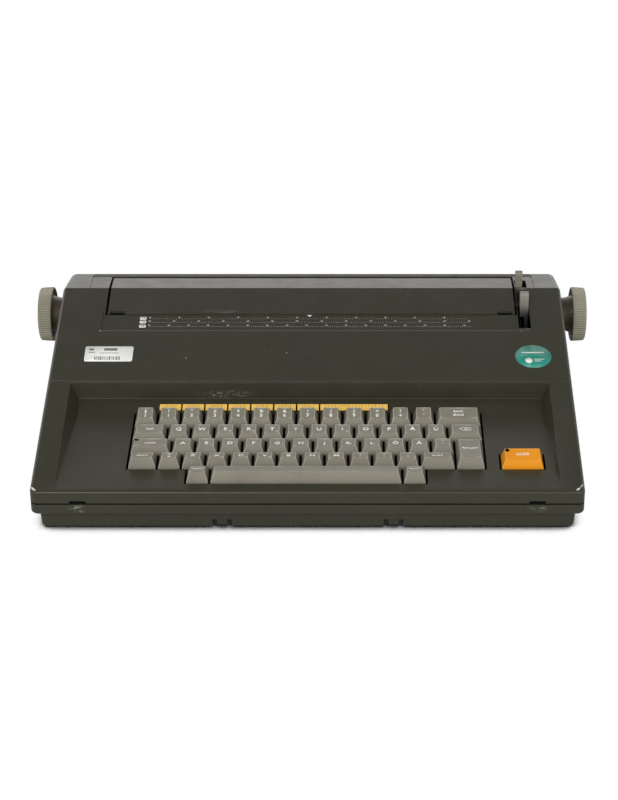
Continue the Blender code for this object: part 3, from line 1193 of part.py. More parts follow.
def build_drive(builder):
    """Carriage motor, two pulleys and the belt round them."""
    belt_front = BELT_Y - BELT_WIDTH / 2
    belt_back = BELT_Y + BELT_WIDTH / 2
    rim = PULLEY_FLANGE_WIDTH
    for name, side in (("drive_pulley", -1), ("idler_pulley", 1)):
        centre = (side * PULLEY_X, BELT_Z)
        front, back = belt_front - CLEARANCE, belt_back + CLEARANCE
        profile = [(front - rim, PULLEY_FLANGE), (front, PULLEY_FLANGE), (front, PULLEY_RADIUS),
                   (back, PULLEY_RADIUS), (back, PULLEY_FLANGE), (back + rim, PULLEY_FLANGE)]
        bore = rod("Y", centre, PULLEY_SHAFT + CLEARANCE, front - OVERRUN, back + OVERRUN, 12)
        builder.piece(name, "white_plastic", [turn(profile, "Y", centre, 18)], cut=[[bore]],
                      origin=(centre[0], BELT_Y, centre[1]))
    inner = PULLEY_RADIUS + CLEARANCE

    def loop(radius):
        line = []
        for side, first in ((1, -90), (-1, 90)):
            for i in range(13):
                angle = math.radians(first + 15 * i)
                line.append((side * PULLEY_X + radius * math.cos(angle), BELT_Z + radius * math.sin(angle)))
        return line

    ring = extrude(loop(inner + BELT_THICKNESS), "Y", belt_front, belt_back)
    hole = extrude(loop(inner), "Y", belt_front - OVERRUN, belt_back + OVERRUN)
    builder.piece("drive_belt", "rubber", [ring], cut=[[hole]])
    motor_y = belt_back + CLEARANCE + rim + DRIVE_MOTOR_GAP
    centre = (-PULLEY_X, BELT_Z)
    body = rod("Y", centre, DRIVE_MOTOR_RADIUS, motor_y, motor_y + DRIVE_MOTOR_LENGTH, 24)
    shaft = rod("Y", centre, PULLEY_SHAFT, CHASSIS_FRONT_Y, motor_y + OVERLAP, 12)
    foot = block((centre[0] - DRIVE_MOTOR_RADIUS / 2, motor_y, CHASSIS_FLOOR_Z + SHEET + CLEARANCE),
                 (centre[0] + DRIVE_MOTOR_RADIUS / 2, motor_y + DRIVE_MOTOR_LENGTH, BELT_Z))
    builder.piece("carriage_motor", "steel", [body], join=[[shaft], [foot]])


def bar(start, end, width, x, thickness):
    """Flat bar between two points of the side plane."""
    dy, dz = end[0] - start[0], end[1] - start[1]
    length = math.hypot(dy, dz)
    ny, nz = -dz / length * width / 2, dy / length * width / 2
    outline = [(start[0] + ny, start[1] + nz), (end[0] + ny, end[1] + nz),
               (end[0] - ny, end[1] - nz), (start[0] - ny, start[1] - nz)]
    return extrude(outline, "X", x - thickness / 2, x + thickness / 2)


def build_levers(builder):
    """Paper release lever and paper bail on the side plates."""
    pivot = (RELEASE_PIVOT_Y, RELEASE_PIVOT_Z)
    tip = (RELEASE_TIP_Y, RELEASE_TIP_Z)
    inner = CHASSIS_HALF + LEVER_GAP
    x = inner + LEVER_WIDTH / 2
    arm = bar(pivot, tip, RELEASE_ARM, x, LEVER_WIDTH)
    hub = rod("X", pivot, LEVER_HUB, inner + OVERLAP / 2, inner + LEVER_WIDTH + OVERLAP, 20)
    foot = bar(pivot, (RELEASE_FOOT_Y, RELEASE_FOOT_Z), RELEASE_ARM, x, LEVER_WIDTH - OVERLAP)
    pin = rod("X", pivot, LEVER_PIN, CHASSIS_HALF - SHEET - OVERLAP, x, 16)
    share = RELEASE_HEAD_LENGTH / math.dist(pivot, tip)
    neck = (tip[0] + (pivot[0] - tip[0]) * share, tip[1] + (pivot[1] - tip[1]) * share)
    head_width = inner + LEVER_WIDTH + OVERLAP - RELEASE_HEAD_INNER_X
    head = bar(neck, tip, RELEASE_HEAD_WIDTH, RELEASE_HEAD_INNER_X + head_width / 2, head_width)
    builder.piece("paper_release_lever", "lever", [arm], join=[[hub], [foot], [pin], [head]],
                  origin=(x, *pivot))
    pivot = (BAIL_PIVOT_Y, BAIL_PIVOT_Z)
    rod_centre = (BAIL_ROD_Y, BAIL_ROD_Z)
    inner = BAIL_ARM_X
    handle_half = BAIL_HANDLE_WIDTH / 2
    arms = both(bar(pivot, rod_centre, BAIL_ARM, inner, LEVER_WIDTH))
    pins = both(rod("X", pivot, LEVER_PIN, inner, CHASSIS_HALF, 16))
    cross = rod("X", rod_centre, BAIL_ROD_RADIUS, -inner, BAIL_HANDLE_X + handle_half - OVERLAP, 12)
    handle = bar(rod_centre, (BAIL_TIP_Y, BAIL_TIP_Z), BAIL_ARM, BAIL_HANDLE_X, BAIL_HANDLE_WIDTH)
    builder.piece("paper_bail", "lever", arms, join=[pins, [cross], [handle]], origin=(0, *pivot))


def build_electronics(builder):
    """Circuit board under the keys and the transformer at the rear."""
    low, high = BOARD_Z, BOARD_Z + BOARD_THICKNESS
    board = block((-BOARD_HALF, BOARD_FRONT_Y, low), (BOARD_HALF, BOARD_BACK_Y, high))
    middle = (BOARD_FRONT_Y + BOARD_BACK_Y) / 2
    chips = []
    for i in range(CHIP_COUNT):
        x = (i - (CHIP_COUNT - 1) / 2) * CHIP_PITCH
        chips.append(block((x - CHIP_LENGTH / 2, middle - CHIP_WIDTH / 2, high - OVERLAP),
                           (x + CHIP_LENGTH / 2, middle + CHIP_WIDTH / 2, high + CHIP_HEIGHT)))
    holes = []
    for points, _ in plate_posts():
        x = sum(p[0] for p in points) / len(points)
        y = sum(p[1] for p in points) / len(points)
        holes.append(rod("Z", (x, y), BOSS_RADIUS / 2 + 2 * CLEARANCE, low - OVERRUN, high + OVERRUN, 12))
    builder.piece("main_board", "board", [board], join=[chips], cut=[holes])
    low = case_floor_z + PEDESTAL
    core = block((TRANSFORMER_X - TRANSFORMER_WIDTH / 2, TRANSFORMER_FRONT_Y, low),
                 (TRANSFORMER_X + TRANSFORMER_WIDTH / 2, TRANSFORMER_FRONT_Y + TRANSFORMER_DEPTH,
                  low + TRANSFORMER_HEIGHT))
    side = TRANSFORMER_COIL_SIDE
    inset = TRANSFORMER_HEIGHT / 5
    coil = block((TRANSFORMER_X - TRANSFORMER_COIL / 2, TRANSFORMER_FRONT_Y - side, low + inset),
                 (TRANSFORMER_X + TRANSFORMER_COIL / 2, TRANSFORMER_FRONT_Y + TRANSFORMER_DEPTH + side / 2,
                  low + TRANSFORMER_HEIGHT - inset))
    builder.piece("transformer", "copper", [core], join=[[coil]])


def main():
    """Build every sub-part of the machine."""
    clear_scene()
    builder = Builder()
    bosses, pedestal = build_base(builder)
    join_base_details(builder, bosses, pedestal)
    build_feet(builder)
    build_bezel(builder)
    build_legend_strip(builder)
    build_cover(builder)
    build_panels(builder)
    build_power(builder)
    build_chassis(builder)
    build_platen(builder)
    build_feed(builder)
    build_carriage(builder)
    build_drive(builder)
    build_levers(builder)
    build_electronics(builder)
    build_switch_plate(builder, build_keys(builder))


main()
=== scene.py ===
"""Dressed electric typewriter: moulded shells, keys with legends, ribbed knobs, levers and lettering."""

import json
import math
import random

import bmesh
import bpy
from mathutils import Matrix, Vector


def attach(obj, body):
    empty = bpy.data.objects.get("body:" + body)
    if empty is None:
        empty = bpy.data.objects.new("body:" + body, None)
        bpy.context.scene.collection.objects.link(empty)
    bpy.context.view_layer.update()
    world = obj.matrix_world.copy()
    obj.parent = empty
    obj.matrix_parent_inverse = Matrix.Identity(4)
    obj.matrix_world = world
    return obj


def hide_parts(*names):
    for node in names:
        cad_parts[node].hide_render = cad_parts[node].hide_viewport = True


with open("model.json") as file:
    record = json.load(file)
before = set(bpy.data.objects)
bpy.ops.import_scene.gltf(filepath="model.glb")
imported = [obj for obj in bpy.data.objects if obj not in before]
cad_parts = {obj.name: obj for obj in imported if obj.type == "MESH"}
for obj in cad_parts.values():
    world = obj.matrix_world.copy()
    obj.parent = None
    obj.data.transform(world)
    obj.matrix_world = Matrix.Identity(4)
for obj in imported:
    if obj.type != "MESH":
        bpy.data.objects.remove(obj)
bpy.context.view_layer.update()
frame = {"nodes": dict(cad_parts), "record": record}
random.seed(7)

# Lengths below are in millimetres: X right, Y back from the front lip, Z up.
MM = 0.001
MIDDLE_Y = 165.0
OVER = 4.0
LAP = 0.4
WALL = 2.5
HALF = 218.0
DEPTH = 330.0
TOP = 114.0
LIP_Z = 33.4
LIP_RISE = 3.6
LIP_RUN = 4.0
GROOVE_Z = 24.55
SEAM_Z = 25.6
SHELL_Z = 25.7
LIP_ROUND = 1.8
EDGE_RUN = 0.4
EDGE_DROP = 0.35
TOP_TAPER = 1.5
REAR_TAPER = 11.5
SLOPE_RUN = 231.5
SLOPE = math.atan2(TOP - LIP_Z - LIP_RISE, SLOPE_RUN)
DECK = math.radians(9.5)
LEDGE = math.radians(22.6)
LEDGE_Y = 101.6
RECESS_BACK = 119.8
BEZEL_BACK = 121.8
CREASE_Y = LIP_RUN + SLOPE_RUN
FLAT = 34.0
REAR_Y = CREASE_Y + FLAT
REAR_SLOPE = math.radians(34)
REAR_TOP = 76.0
REAR_ROUND = 6.0
CORNER = 5.5
PITCH = 19.05
KEY_X = -144.2
KEY_V = 6.7
KEY_GAP = 0.8
CODE_X = 171.0
CODE_WIDTH = 35.1
CODE_HOLE_HALF = 18.35
ROW_HEIGHTS = (7.4, 7.0, 6.1, 5.9, 8.3)
ROW_TILTS = tuple(math.radians(a) for a in (-16.0, -17.5, -8.5, -4.0, 10.0))
KEY_TOP_DEPTH = 12.0
KEY_SLANT = 2.7
CAP_SIDE_GAP = 1.9
CAP_END_GAP = 0.9
STRIP_LENGTH = 7.2
LID_HALF = 176.0
LID_HOLE_HALF = 178.0
LID_FRONT = 202.5
LID_BACK = 259.0
SLOT = 3.6
SUPPORT_HALF = 194.5
SUPPORT_HOLE_HALF = 195.1
SUPPORT_BACK = 303.5
SCALE_FRONT = 181.4
SCALE_HALF = 180.0
SCALE_DEPTH = 1.0
LEVER_SLOT = (178.4, 188.8)
PLATEN = (259.8, 79.4)
INK = (0.05, 0.13)
LABEL = (-0.02, 0.1)


def put(x, y, z):
    """Row frame point in metres."""
    return x * MM, (y - MIDDLE_Y) * MM, z * MM


def slope_z(y):
    return LIP_Z + LIP_RISE + (y - LIP_RUN) * math.tan(SLOPE)


def case_top(y):
    return min(slope_z(y), TOP, TOP - (y - REAR_Y) * math.tan(REAR_SLOPE))


def deck_z(y):
    return LIP_Z + LIP_RISE + (y - LIP_RUN) * math.tan(DECK)


def ledge_z(y):
    return deck_z(LEDGE_Y) + (y - LEDGE_Y) * math.tan(LEDGE)


def on_deck(x, v, n):
    """Point from deck coordinates: across, up the deck and out of it."""
    y = LIP_RUN + v * math.cos(DECK) - n * math.sin(DECK)
    return x, y, LIP_Z + LIP_RISE + v * math.sin(DECK) + n * math.cos(DECK)


def on_slope(x, y, n):
    """Point over the sloping face: across, back and out of it."""
    return x, y - n * math.sin(SLOPE), slope_z(y) + n * math.cos(SLOPE)


# Shapes are (points, faces)
def outward(points, faces):
    total = 0.0
    for face in faces:
        first = Vector(points[face[0]])
        for i in range(1, len(face) - 1):
            total += first.dot(Vector(points[face[i]]).cross(Vector(points[face[i + 1]])))
    if total < 0:
        faces = [tuple(reversed(face)) for face in faces]
    return points, faces


def loft(rings):
    count = len(rings[0])
    points = [tuple(p) for ring in rings for p in ring]
    last = len(points) - count
    faces = [tuple(reversed(range(count))), tuple(last + i for i in range(count))]
    for r in range(len(rings) - 1):
        for i in range(count):
            j = (i + 1) % count
            faces.append((r * count + i, r * count + j, (r + 1) * count + j, (r + 1) * count + i))
    return points, faces


PLACES = {
    "X": lambda a, b, along: (along, a, b),
    "Y": lambda a, b, along: (a, along, b),
    "Z": lambda a, b, along: (a, b, along),
}


def extrude(outline, axis, start, end):
    return loft([[PLACES[axis](a, b, along) for a, b in outline] for along in (start, end)])


def block(low, high):
    outline = [(low[0], low[1]), (high[0], low[1]), (high[0], high[1]), (low[0], high[1])]
    return extrude(outline, "Z", low[2], high[2])


def turn(profile, axis, centre, sides=48):
    rings = []
    for along, radius in profile:
        turns = [2 * math.pi * (i + 0.5) / sides for i in range(sides)]
        rings.append([PLACES[axis](centre[0] + radius * math.cos(t), centre[1] + radius * math.sin(t), along)
                      for t in turns])
    return loft(rings)


def rod(axis, centre, radius, start, end, sides=32):
    return turn([(start, radius), (end, radius)], axis, centre, sides)


def mirrored(shape):
    return [(-x, y, z) for x, y, z in shape[0]], shape[1]


def both(shape):
    return [shape, mirrored(shape)]


def mapped(shape, place):
    return [place(*p) for p in shape[0]], shape[1]


def rounded_outline(half, front, back, radius, steps=8):
    corners = [(half - radius, front + radius, -90), (half - radius, back - radius, 0),
               (radius - half, back - radius, 90), (radius - half, front + radius, 180)]
    return [(cx + radius * math.cos(math.radians(first + 90 * i / steps)),
             cy + radius * math.sin(math.radians(first + 90 * i / steps)))
            for cx, cy, first in corners for i in range(steps + 1)]


def rounded_rect(cx, cy, width, height, radius, steps=6):
    outline = rounded_outline(width / 2, cy - height / 2, cy + height / 2, radius, steps)
    return [(x + cx, y) for x, y in outline]


def ellipse(cx, cy, rx, ry, count):
    turns = [2 * math.pi * i / count for i in range(count)]
    return [(cx + rx * math.cos(t), cy + ry * math.sin(t)) for t in turns]


def tray(levels):
    rings = []
    for z, inset in levels:
        outline = rounded_outline(HALF - inset, inset, DEPTH - inset, max(CORNER - inset / 2, CORNER / 2))
        rings.append([(x, y, z) for x, y in outline])
    return loft(rings)


def arch(y, low_half, half, low, top, radius, steps=8):
    right = [(low_half, low), (half, top - radius)]
    for i in range(1, steps + 1):
        angle = math.radians(90 * i / steps)
        right.append((half - radius + radius * math.cos(angle), top - radius + radius * math.sin(angle)))
    left = [(-x, z) for x, z in reversed(right)]
    return [(x, y, z) for x, z in right + left]


def shell_section(y, inset, top=None, low=SHELL_Z):
    share = min(max((y - CREASE_Y) / FLAT, 0.0), 1.0)
    rear = min(max((y - REAR_Y) / (DEPTH - REAR_Y), 0.0), 1.0)
    half = HALF - TOP_TAPER * share - REAR_TAPER * rear
    radius = 3.0 + 3.5 * share
    low_half = HALF
    top = case_top(y) if top is None else top
    back_off = 0.0
    if y < CORNER:
        back_off = CORNER - math.sqrt(CORNER ** 2 - (CORNER - y) ** 2)
    if y > DEPTH - REAR_ROUND:
        run = y - (DEPTH - REAR_ROUND)
        back_off = REAR_ROUND - math.sqrt(max(REAR_ROUND ** 2 - run ** 2, 0.0))
        top = min(top, REAR_TOP - back_off)
    return arch(y, low_half - back_off - inset, half - back_off - inset, low, top - inset,
                max(radius - inset / 2, LAP))


# Meshes
CUT, JOIN = "DIFFERENCE", "UNION"


def add(name, data):
    item = bpy.data.objects.new(name, data)
    bpy.context.scene.collection.objects.link(item)
    return item


def raw_mesh(name, shapes):
    mesh = bpy.data.meshes.new(name)
    shaped = bmesh.new()
    for shape in shapes:
        points, faces = outward(*shape)
        made = [shaped.verts.new(put(*p)) for p in points]
        for face in faces:
            shaped.faces.new([made[i] for i in face])
    bmesh.ops.connect_verts_nonplanar(shaped, angle_limit=math.radians(0.01), faces=shaped.faces)
    shaped.to_mesh(mesh)
    shaped.free()
    return mesh


def carve(name, base, steps):
    """Mesh of base shapes after groups of shapes are joined to it or cut from it."""
    item = add(name, raw_mesh(name, base))
    helpers = []
    for operation, shapes in steps:
        helper = add("helper", raw_mesh("helper", shapes))
        helpers.append(helper)
        modifier = item.modifiers.new(operation, "BOOLEAN")
        modifier.operation = operation
        modifier.solver = "EXACT"
        modifier.object = helper
    depsgraph = bpy.context.evaluated_depsgraph_get()
    mesh = bpy.data.meshes.new_from_object(item.evaluated_get(depsgraph))
    mesh.name = name
    for helper in helpers + [item]:
        bpy.data.objects.remove(helper, do_unlink=True)
    return mesh


def soften(mesh, width, angle=17.5, segments=3):
    """Round the sharp edges, and mark the rounded faces for the lighter edges in the material, partly from
    rubbing and partly a painted highlight.
    """
    shaped = bmesh.new()
    shaped.from_mesh(mesh)
    bmesh.ops.remove_doubles(shaped, verts=shaped.verts, dist=0.000004)
    bmesh.ops.dissolve_limit(shaped, angle_limit=math.radians(0.5), verts=shaped.verts, edges=shaped.edges,
                             use_dissolve_boundaries=False)
    edge_layer = shaped.faces.layers.float.new("edge")
    sharp = [e for e in shaped.edges
             if len(e.link_faces) == 2 and e.calc_face_angle(0.0) > math.radians(angle)]
    made = bmesh.ops.bevel(shaped, geom=sharp, offset=width * MM, offset_type="OFFSET", segments=segments,
                           profile=0.5, affect="EDGES", clamp_overlap=True, loop_slide=True, material=-1)
    for face in made["faces"]:
        face[edge_layer] = 1.0
    bmesh.ops.remove_doubles(shaped, verts=shaped.verts, dist=0.000002)
    return close_mesh(mesh, shaped, edge_layer)


def close_mesh(mesh, shaped, edge_layer, angle=15.0):
    """Smooth shading with sharp creases, written back to the mesh."""
    for face in shaped.faces:
        face.smooth = True
    for edge in shaped.edges:
        if len(edge.link_faces) == 2:
            worn_and_lit = any(f[edge_layer] > 0.5 for f in edge.link_faces) if edge_layer else False
            edge.smooth = worn_and_lit or edge.calc_face_angle(0.0) < math.radians(angle)
    shaped.to_mesh(mesh)
    shaped.free()
    return mesh


def laid(shapes, place, index=0):
    """Parts of one material, with no faces marked for lighter edges, mapped to their place."""
    return [(mapped(shape, place), index, ()) for shape in shapes]


def parts_mesh(name, parts, angle=30.0):
    """Mesh from (shape, material index, faces marked for lighter edges) parts, already shaped in full."""
    mesh = bpy.data.meshes.new(name)
    shaped = bmesh.new()
    edge_layer = shaped.faces.layers.float.new("edge")
    for shape, index, worn_and_lit in parts:
        points, faces = outward(*shape)
        made = [shaped.verts.new(put(*p)) for p in points]
        for number, face in enumerate(faces):
            new = shaped.faces.new([made[i] for i in face])
            new.material_index = index
            new[edge_layer] = 1.0 if number in worn_and_lit else 0.0
    return close_mesh(mesh, shaped, None, angle)


def dress(name, mesh, materials, body, nodes=(), weighted=True):
    """Object of a mesh that rides on a body and stands for the nodes."""
    item = add(name, mesh)
    for material in materials:
        mesh.materials.append(material)
    if weighted:
        modifier = item.modifiers.new("normals", "WEIGHTED_NORMAL")
        modifier.keep_sharp = True
    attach(item, body)
    if nodes:
        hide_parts(*nodes)
    return item


def dress_flat(name, parts, materials, body="machine"):
    """Print, sticker or lamp that stands for no node."""
    dress(name, parts_mesh(name, parts), materials, body, weighted=False)


# Materials
def new_tree(name):
    material = bpy.data.materials.new(name)
    material.use_nodes = True
    tree = material.node_tree
    return material, tree, tree.nodes["Principled BSDF"]


def noise(tree, vector, scale, detail=4.0, roughness=0.6):
    node = tree.nodes.new("ShaderNodeTexNoise")
    node.inputs["Scale"].default_value = scale
    node.inputs["Detail"].default_value = detail
    node.inputs["Roughness"].default_value = roughness
    tree.links.new(vector, node.inputs["Vector"])
    return node.outputs["Fac"]


def spread(tree, value, low, high, to_low, to_high):
    node = tree.nodes.new("ShaderNodeMapRange")
    tree.links.new(value, node.inputs["Value"])
    for socket, number in (("From Min", low), ("From Max", high), ("To Min", to_low), ("To Max", to_high)):
        node.inputs[socket].default_value = number
    return node.outputs["Result"]


def product(tree, *values):
    result = values[0]
    for value in values[1:]:
        node = tree.nodes.new("ShaderNodeMath")
        node.operation = "MULTIPLY"
        node.use_clamp = True
        tree.links.new(result, node.inputs[0])
        if isinstance(value, float):
            node.inputs[1].default_value = value
        else:
            tree.links.new(value, node.inputs[1])
        result = node.outputs[0]
    return result


def blend_colour(tree, factor, below, colour):
    node = tree.nodes.new("ShaderNodeMix")
    node.data_type = "RGBA"
    tree.links.new(factor, node.inputs["Factor"])
    tree.links.new(below, node.inputs[6])
    node.inputs[7].default_value = (*colour, 1.0)
    return node.outputs[2]


def stretched(tree, coordinates, scale, angle=0.0):
    node = tree.nodes.new("ShaderNodeMapping")
    node.inputs["Scale"].default_value = scale
    node.inputs["Rotation"].default_value = (0.0, 0.0, angle)
    tree.links.new(coordinates, node.inputs["Vector"])
    return node.outputs["Vector"]


def around(tree, coordinates, centre, reach):
    """Mask that falls from 1 at a place, in millimetres, to 0 at its reach."""
    node = tree.nodes.new("ShaderNodeMapping")
    node.vector_type = "TEXTURE"
    node.inputs["Location"].default_value = put(*centre)
    node.inputs["Scale"].default_value = tuple(r * MM for r in reach)
    tree.links.new(coordinates, node.inputs["Vector"])
    length = tree.nodes.new("ShaderNodeVectorMath")
    length.operation = "LENGTH"
    tree.links.new(node.outputs["Vector"], length.inputs[0])
    return spread(tree, length.outputs["Value"], 0.35, 1.0, 1.0, 0.0)


def plastic(name, colour, roughness, vary=0.06, grain=1400.0, depth=0.00002, edge_wear_and_highlight=0.0, worn_and_lit=None,
            least_edge_light=0.15, speck=0.0, marks=(), metallic=0.0, specular=0.5, scratch=0.0, tint=None):
    """Moulded surface: cloudy colour, fine grain, specks, scratches, lighter edges that are partly from
    rubbing and partly a painted highlight, and marks of scuffs, painted highlights and painted shade.
    """
    material, tree, shader = new_tree(name)
    coordinates = tree.nodes.new("ShaderNodeTexCoord").outputs["Object"]
    shader.inputs["Metallic"].default_value = metallic
    shader.inputs["Specular IOR Level"].default_value = specular
    tone = tree.nodes.new("ShaderNodeHueSaturation")
    tone.inputs["Color"].default_value = (*colour, 1.0)
    cloud = noise(tree, coordinates, 16.0)
    tree.links.new(spread(tree, cloud, 0.3, 0.7, 1.0 - vary, 1.0 + vary), tone.inputs["Value"])
    result = tone.outputs["Color"]
    if tint:
        stain = spread(tree, noise(tree, coordinates, 42.0), 0.48, 0.72, 0.0, 0.6)
        result = blend_colour(tree, stain, result, tint)
    worn_and_lit = worn_and_lit or tuple(min(c * 2.4 + 0.03, 1.0) for c in colour)
    # Lighter marked edges: patchy rubbing, and a painted highlight along the crisp edges
    if edge_wear_and_highlight:
        attribute = tree.nodes.new("ShaderNodeAttribute")
        attribute.attribute_name = "edge"
        patchy = spread(tree, noise(tree, coordinates, 130.0), 0.35, 0.65, least_edge_light, 1.0)
        result = blend_colour(tree, product(tree, attribute.outputs["Fac"], patchy, edge_wear_and_highlight), result, worn_and_lit)
    if speck:
        cell = tree.nodes.new("ShaderNodeTexVoronoi")
        cell.inputs["Scale"].default_value = 150.0
        tree.links.new(coordinates, cell.inputs["Vector"])
        dot = spread(tree, cell.outputs["Distance"], 0.03, 0.09, 1.0, 0.0)
        chosen = spread(tree, noise(tree, coordinates, 55.0, 2.0), 0.60, 0.66, 0.0, 1.0)
        result = blend_colour(tree, product(tree, dot, chosen, speck), result, (0.35, 0.35, 0.33))
    if scratch:
        for scale, angle in (((30.0, 900.0, 900.0), 0.5), ((900.0, 26.0, 900.0), -0.3)):
            line = noise(tree, stretched(tree, coordinates, scale, angle), 1.0, 1.0)
            thin = spread(tree, line, 0.74, 0.80, 0.0, 1.0)
            gate = spread(tree, noise(tree, coordinates, 28.0, 2.0), 0.52, 0.66, 0.0, 1.0)
            result = blend_colour(tree, product(tree, thin, gate, scratch), result, worn_and_lit)
    for centre, reach, strength, scale, mark_colour in marks:
        mask = around(tree, coordinates, centre, reach)
        if scale:
            drawn = stretched(tree, coordinates, scale)
            patch = spread(tree, noise(tree, drawn, 1.0, 5.0), 0.5, 0.62, 0.0, 1.0)
            mask = product(tree, mask, patch)
        result = blend_colour(tree, product(tree, mask, strength), result, mark_colour)
    tree.links.new(result, shader.inputs["Base Color"])
    gloss = spread(tree, noise(tree, coordinates, 60.0), 0.3, 0.7, roughness - 0.05, roughness + 0.05)
    tree.links.new(gloss, shader.inputs["Roughness"])
    bump = tree.nodes.new("ShaderNodeBump")
    bump.inputs["Strength"].default_value = 0.5
    bump.inputs["Distance"].default_value = depth
    tree.links.new(noise(tree, coordinates, grain, 3.0), bump.inputs["Height"])
    tree.links.new(bump.outputs["Normal"], shader.inputs["Normal"])
    return material


# Marks on the case: place, reach, strength, scale of the noise that breaks them up, colour
# Light colour of the scuffs and scratches on the case, also used for painted highlights
PALE_SCUFF_AND_HIGHLIGHT = (0.42, 0.42, 0.38)
PAINTED_HIGHLIGHT_GREY = (0.17, 0.17, 0.16)
case_marks = (
    ((-70.0, 120.0, 65.0), (30.0, 4.0, 4.5), 0.30, (420.0, 300.0, 700.0), PALE_SCUFF_AND_HIGHLIGHT),
    ((-180.5, 0.5, 21.0), (9.0, 4.0, 4.5), 0.40, (420.0, 300.0, 500.0), PALE_SCUFF_AND_HIGHLIGHT),
    ((180.5, 0.5, 21.0), (9.0, 4.0, 4.5), 0.40, (420.0, 300.0, 500.0), PALE_SCUFF_AND_HIGHLIGHT),
    # Painted highlight on the crease of the bridge between the bail and release slots
    ((183.6, 234.6, 113.9), (5.6, 2.6, 1.6), 0.6, None, PAINTED_HIGHLIGHT_GREY),
    # Painted highlights at the two ends of the scale field's front edge
    ((-180.0, 181.8, 95.9), (1.6, 1.3, 1.3), 0.7, None, PALE_SCUFF_AND_HIGHLIGHT),
    ((179.6, 182.0, 96.0), (1.6, 1.3, 1.3), 0.7, None, PALE_SCUFF_AND_HIGHLIGHT),
    ((-78.0, 205.6, 103.9), (20.0, 2.6, 2.6), 0.55, (60.0, 1600.0, 1600.0), PALE_SCUFF_AND_HIGHLIGHT),
    ((-36.1, 163.9, 90.2), (1.3, 1.3, 1.3), 0.95, None, (0.006, 0.006, 0.006)),
    ((-20.2, 155.1, 87.2), (0.9, 0.9, 0.9), 0.7, None, PALE_SCUFF_AND_HIGHLIGHT),
    ((-104.9, 148.8, 85.2), (1.0, 1.0, 1.0), 0.6, None, PALE_SCUFF_AND_HIGHLIGHT),
)
BARE_AND_LIT = (0.80, 0.80, 0.77)


def streak(start, end, strength, steps=8):
    """Row of small light spots between two points: scuffed plastic, and a painted highlight on the rounded
    corner.
    """
    shares = [i / (steps - 1) for i in range(steps)]
    spots = [tuple(a + (b - a) * s for a, b in zip(start, end)) for s in shares]
    return tuple((spot, (1.05, 0.95, 1.05), strength, None, BARE_AND_LIT) for spot in spots)


# Light streaks on the lip's rounded front corners: partly scuffing, partly a painted highlight
case_marks += streak((-217.0, 5.4, 37.4), (-213.6, 2.3, 36.4), 0.85)
case_marks += streak((211.6, 2.6, 36.5), (213.2, 4.0, 37.0), 0.9)
case_marks += streak((214.4, 5.4, 37.4), (216.6, 8.4, 38.4), 0.25)
CASE = (0.034, 0.0335, 0.0205)
# Light edge colour of the knobs and levers: rubbing and a painted edge highlight
LEVER_WORN_AND_LIT = (0.45, 0.43, 0.36)
# The lighter edges of the case, the keys and the levers are partly from rubbing and partly a painted
# highlight
case = plastic("case_plastic", CASE, 0.33, specular=0.40, vary=0.07, edge_wear_and_highlight=0.35, worn_and_lit=(0.11, 0.105, 0.09),
               speck=0.55, scratch=0.35, marks=case_marks, depth=0.00003)
rear_plastic = plastic("rear_plastic", (0.030, 0.026, 0.019), 0.5, specular=0.2, edge_wear_and_highlight=0.3, depth=0.00003)
key_plastic = plastic("key_plastic", (0.232, 0.219, 0.174), 0.48, edge_wear_and_highlight=1.0, worn_and_lit=(0.52, 0.52, 0.45),
                      least_edge_light=0.55, tint=(0.20, 0.17, 0.13), depth=0.000015)
orange = plastic("amber_key", (0.87, 0.32, 0.010), 0.42, specular=0.35, edge_wear_and_highlight=0.6, worn_and_lit=(0.95, 0.58, 0.2),
                 depth=0.000015)
amber = plastic("amber_strip", (1.0, 0.63, 0.13), 0.45, specular=0.35, vary=0.06, edge_wear_and_highlight=0.4,
                worn_and_lit=(1.0, 0.8, 0.45))
knob_plastic = plastic("knob_plastic", (0.31, 0.30, 0.225), 0.5, edge_wear_and_highlight=0.6, worn_and_lit=LEVER_WORN_AND_LIT,
                       tint=(0.26, 0.24, 0.18))
# The bail lever's material carries painted shade: a dark band on the handle where it goes down into its slot
lever_plastic = plastic("lever_plastic", (0.215, 0.205, 0.165), 0.5, edge_wear_and_highlight=0.6, worn_and_lit=LEVER_WORN_AND_LIT,
                        tint=(0.16, 0.13, 0.09), marks=(
                            ((181.6, 243.0, 104.0), (60.0, 60.0, 10.5), 0.9, None, (0.03, 0.02, 0.012)),))
# The release lever's material carries painted shade: darker where the lever goes down into its slot, and near
# black further inside the case
release_plastic = plastic("release_plastic", (0.25, 0.24, 0.20), 0.5, edge_wear_and_highlight=0.6, worn_and_lit=LEVER_WORN_AND_LIT, marks=(
    ((184.5, 211.0, 96.0), (12.0, 12.0, 12.0), 0.97, None, (0.022, 0.014, 0.008)),
    ((186.0, 211.0, 80.0), (90.0, 90.0, 36.0), 1.0, None, (0.004, 0.004, 0.003))))
neck_plastic = plastic("neck_plastic", (0.072, 0.054, 0.034), 0.45, edge_wear_and_highlight=0.3)
legend_white = plastic("legend_white", (0.93, 0.93, 0.89), 0.5, vary=0.04)
print_white = plastic("print_white", (0.33, 0.33, 0.30), 0.5, vary=0.18)
label_white = plastic("label_white", (0.92, 0.93, 0.89), 0.4, vary=0.04, depth=0.000005)
label_grey = plastic("label_grey", (0.16, 0.16, 0.17), 0.5, vary=0.25)
label_green = plastic("label_green", (0.003, 0.27, 0.20), 0.35, vary=0.06, depth=0.000005)
ink_brown = plastic("ink_brown", (0.40, 0.16, 0.03), 0.5, vary=0.2)
dull_black = plastic("dull_black", (0.006, 0.006, 0.005), 0.8, specular=0.08, vary=0.3)
rubber = plastic("rubber", (0.014, 0.014, 0.013), 0.75, vary=0.2, grain=500.0, depth=0.00008)
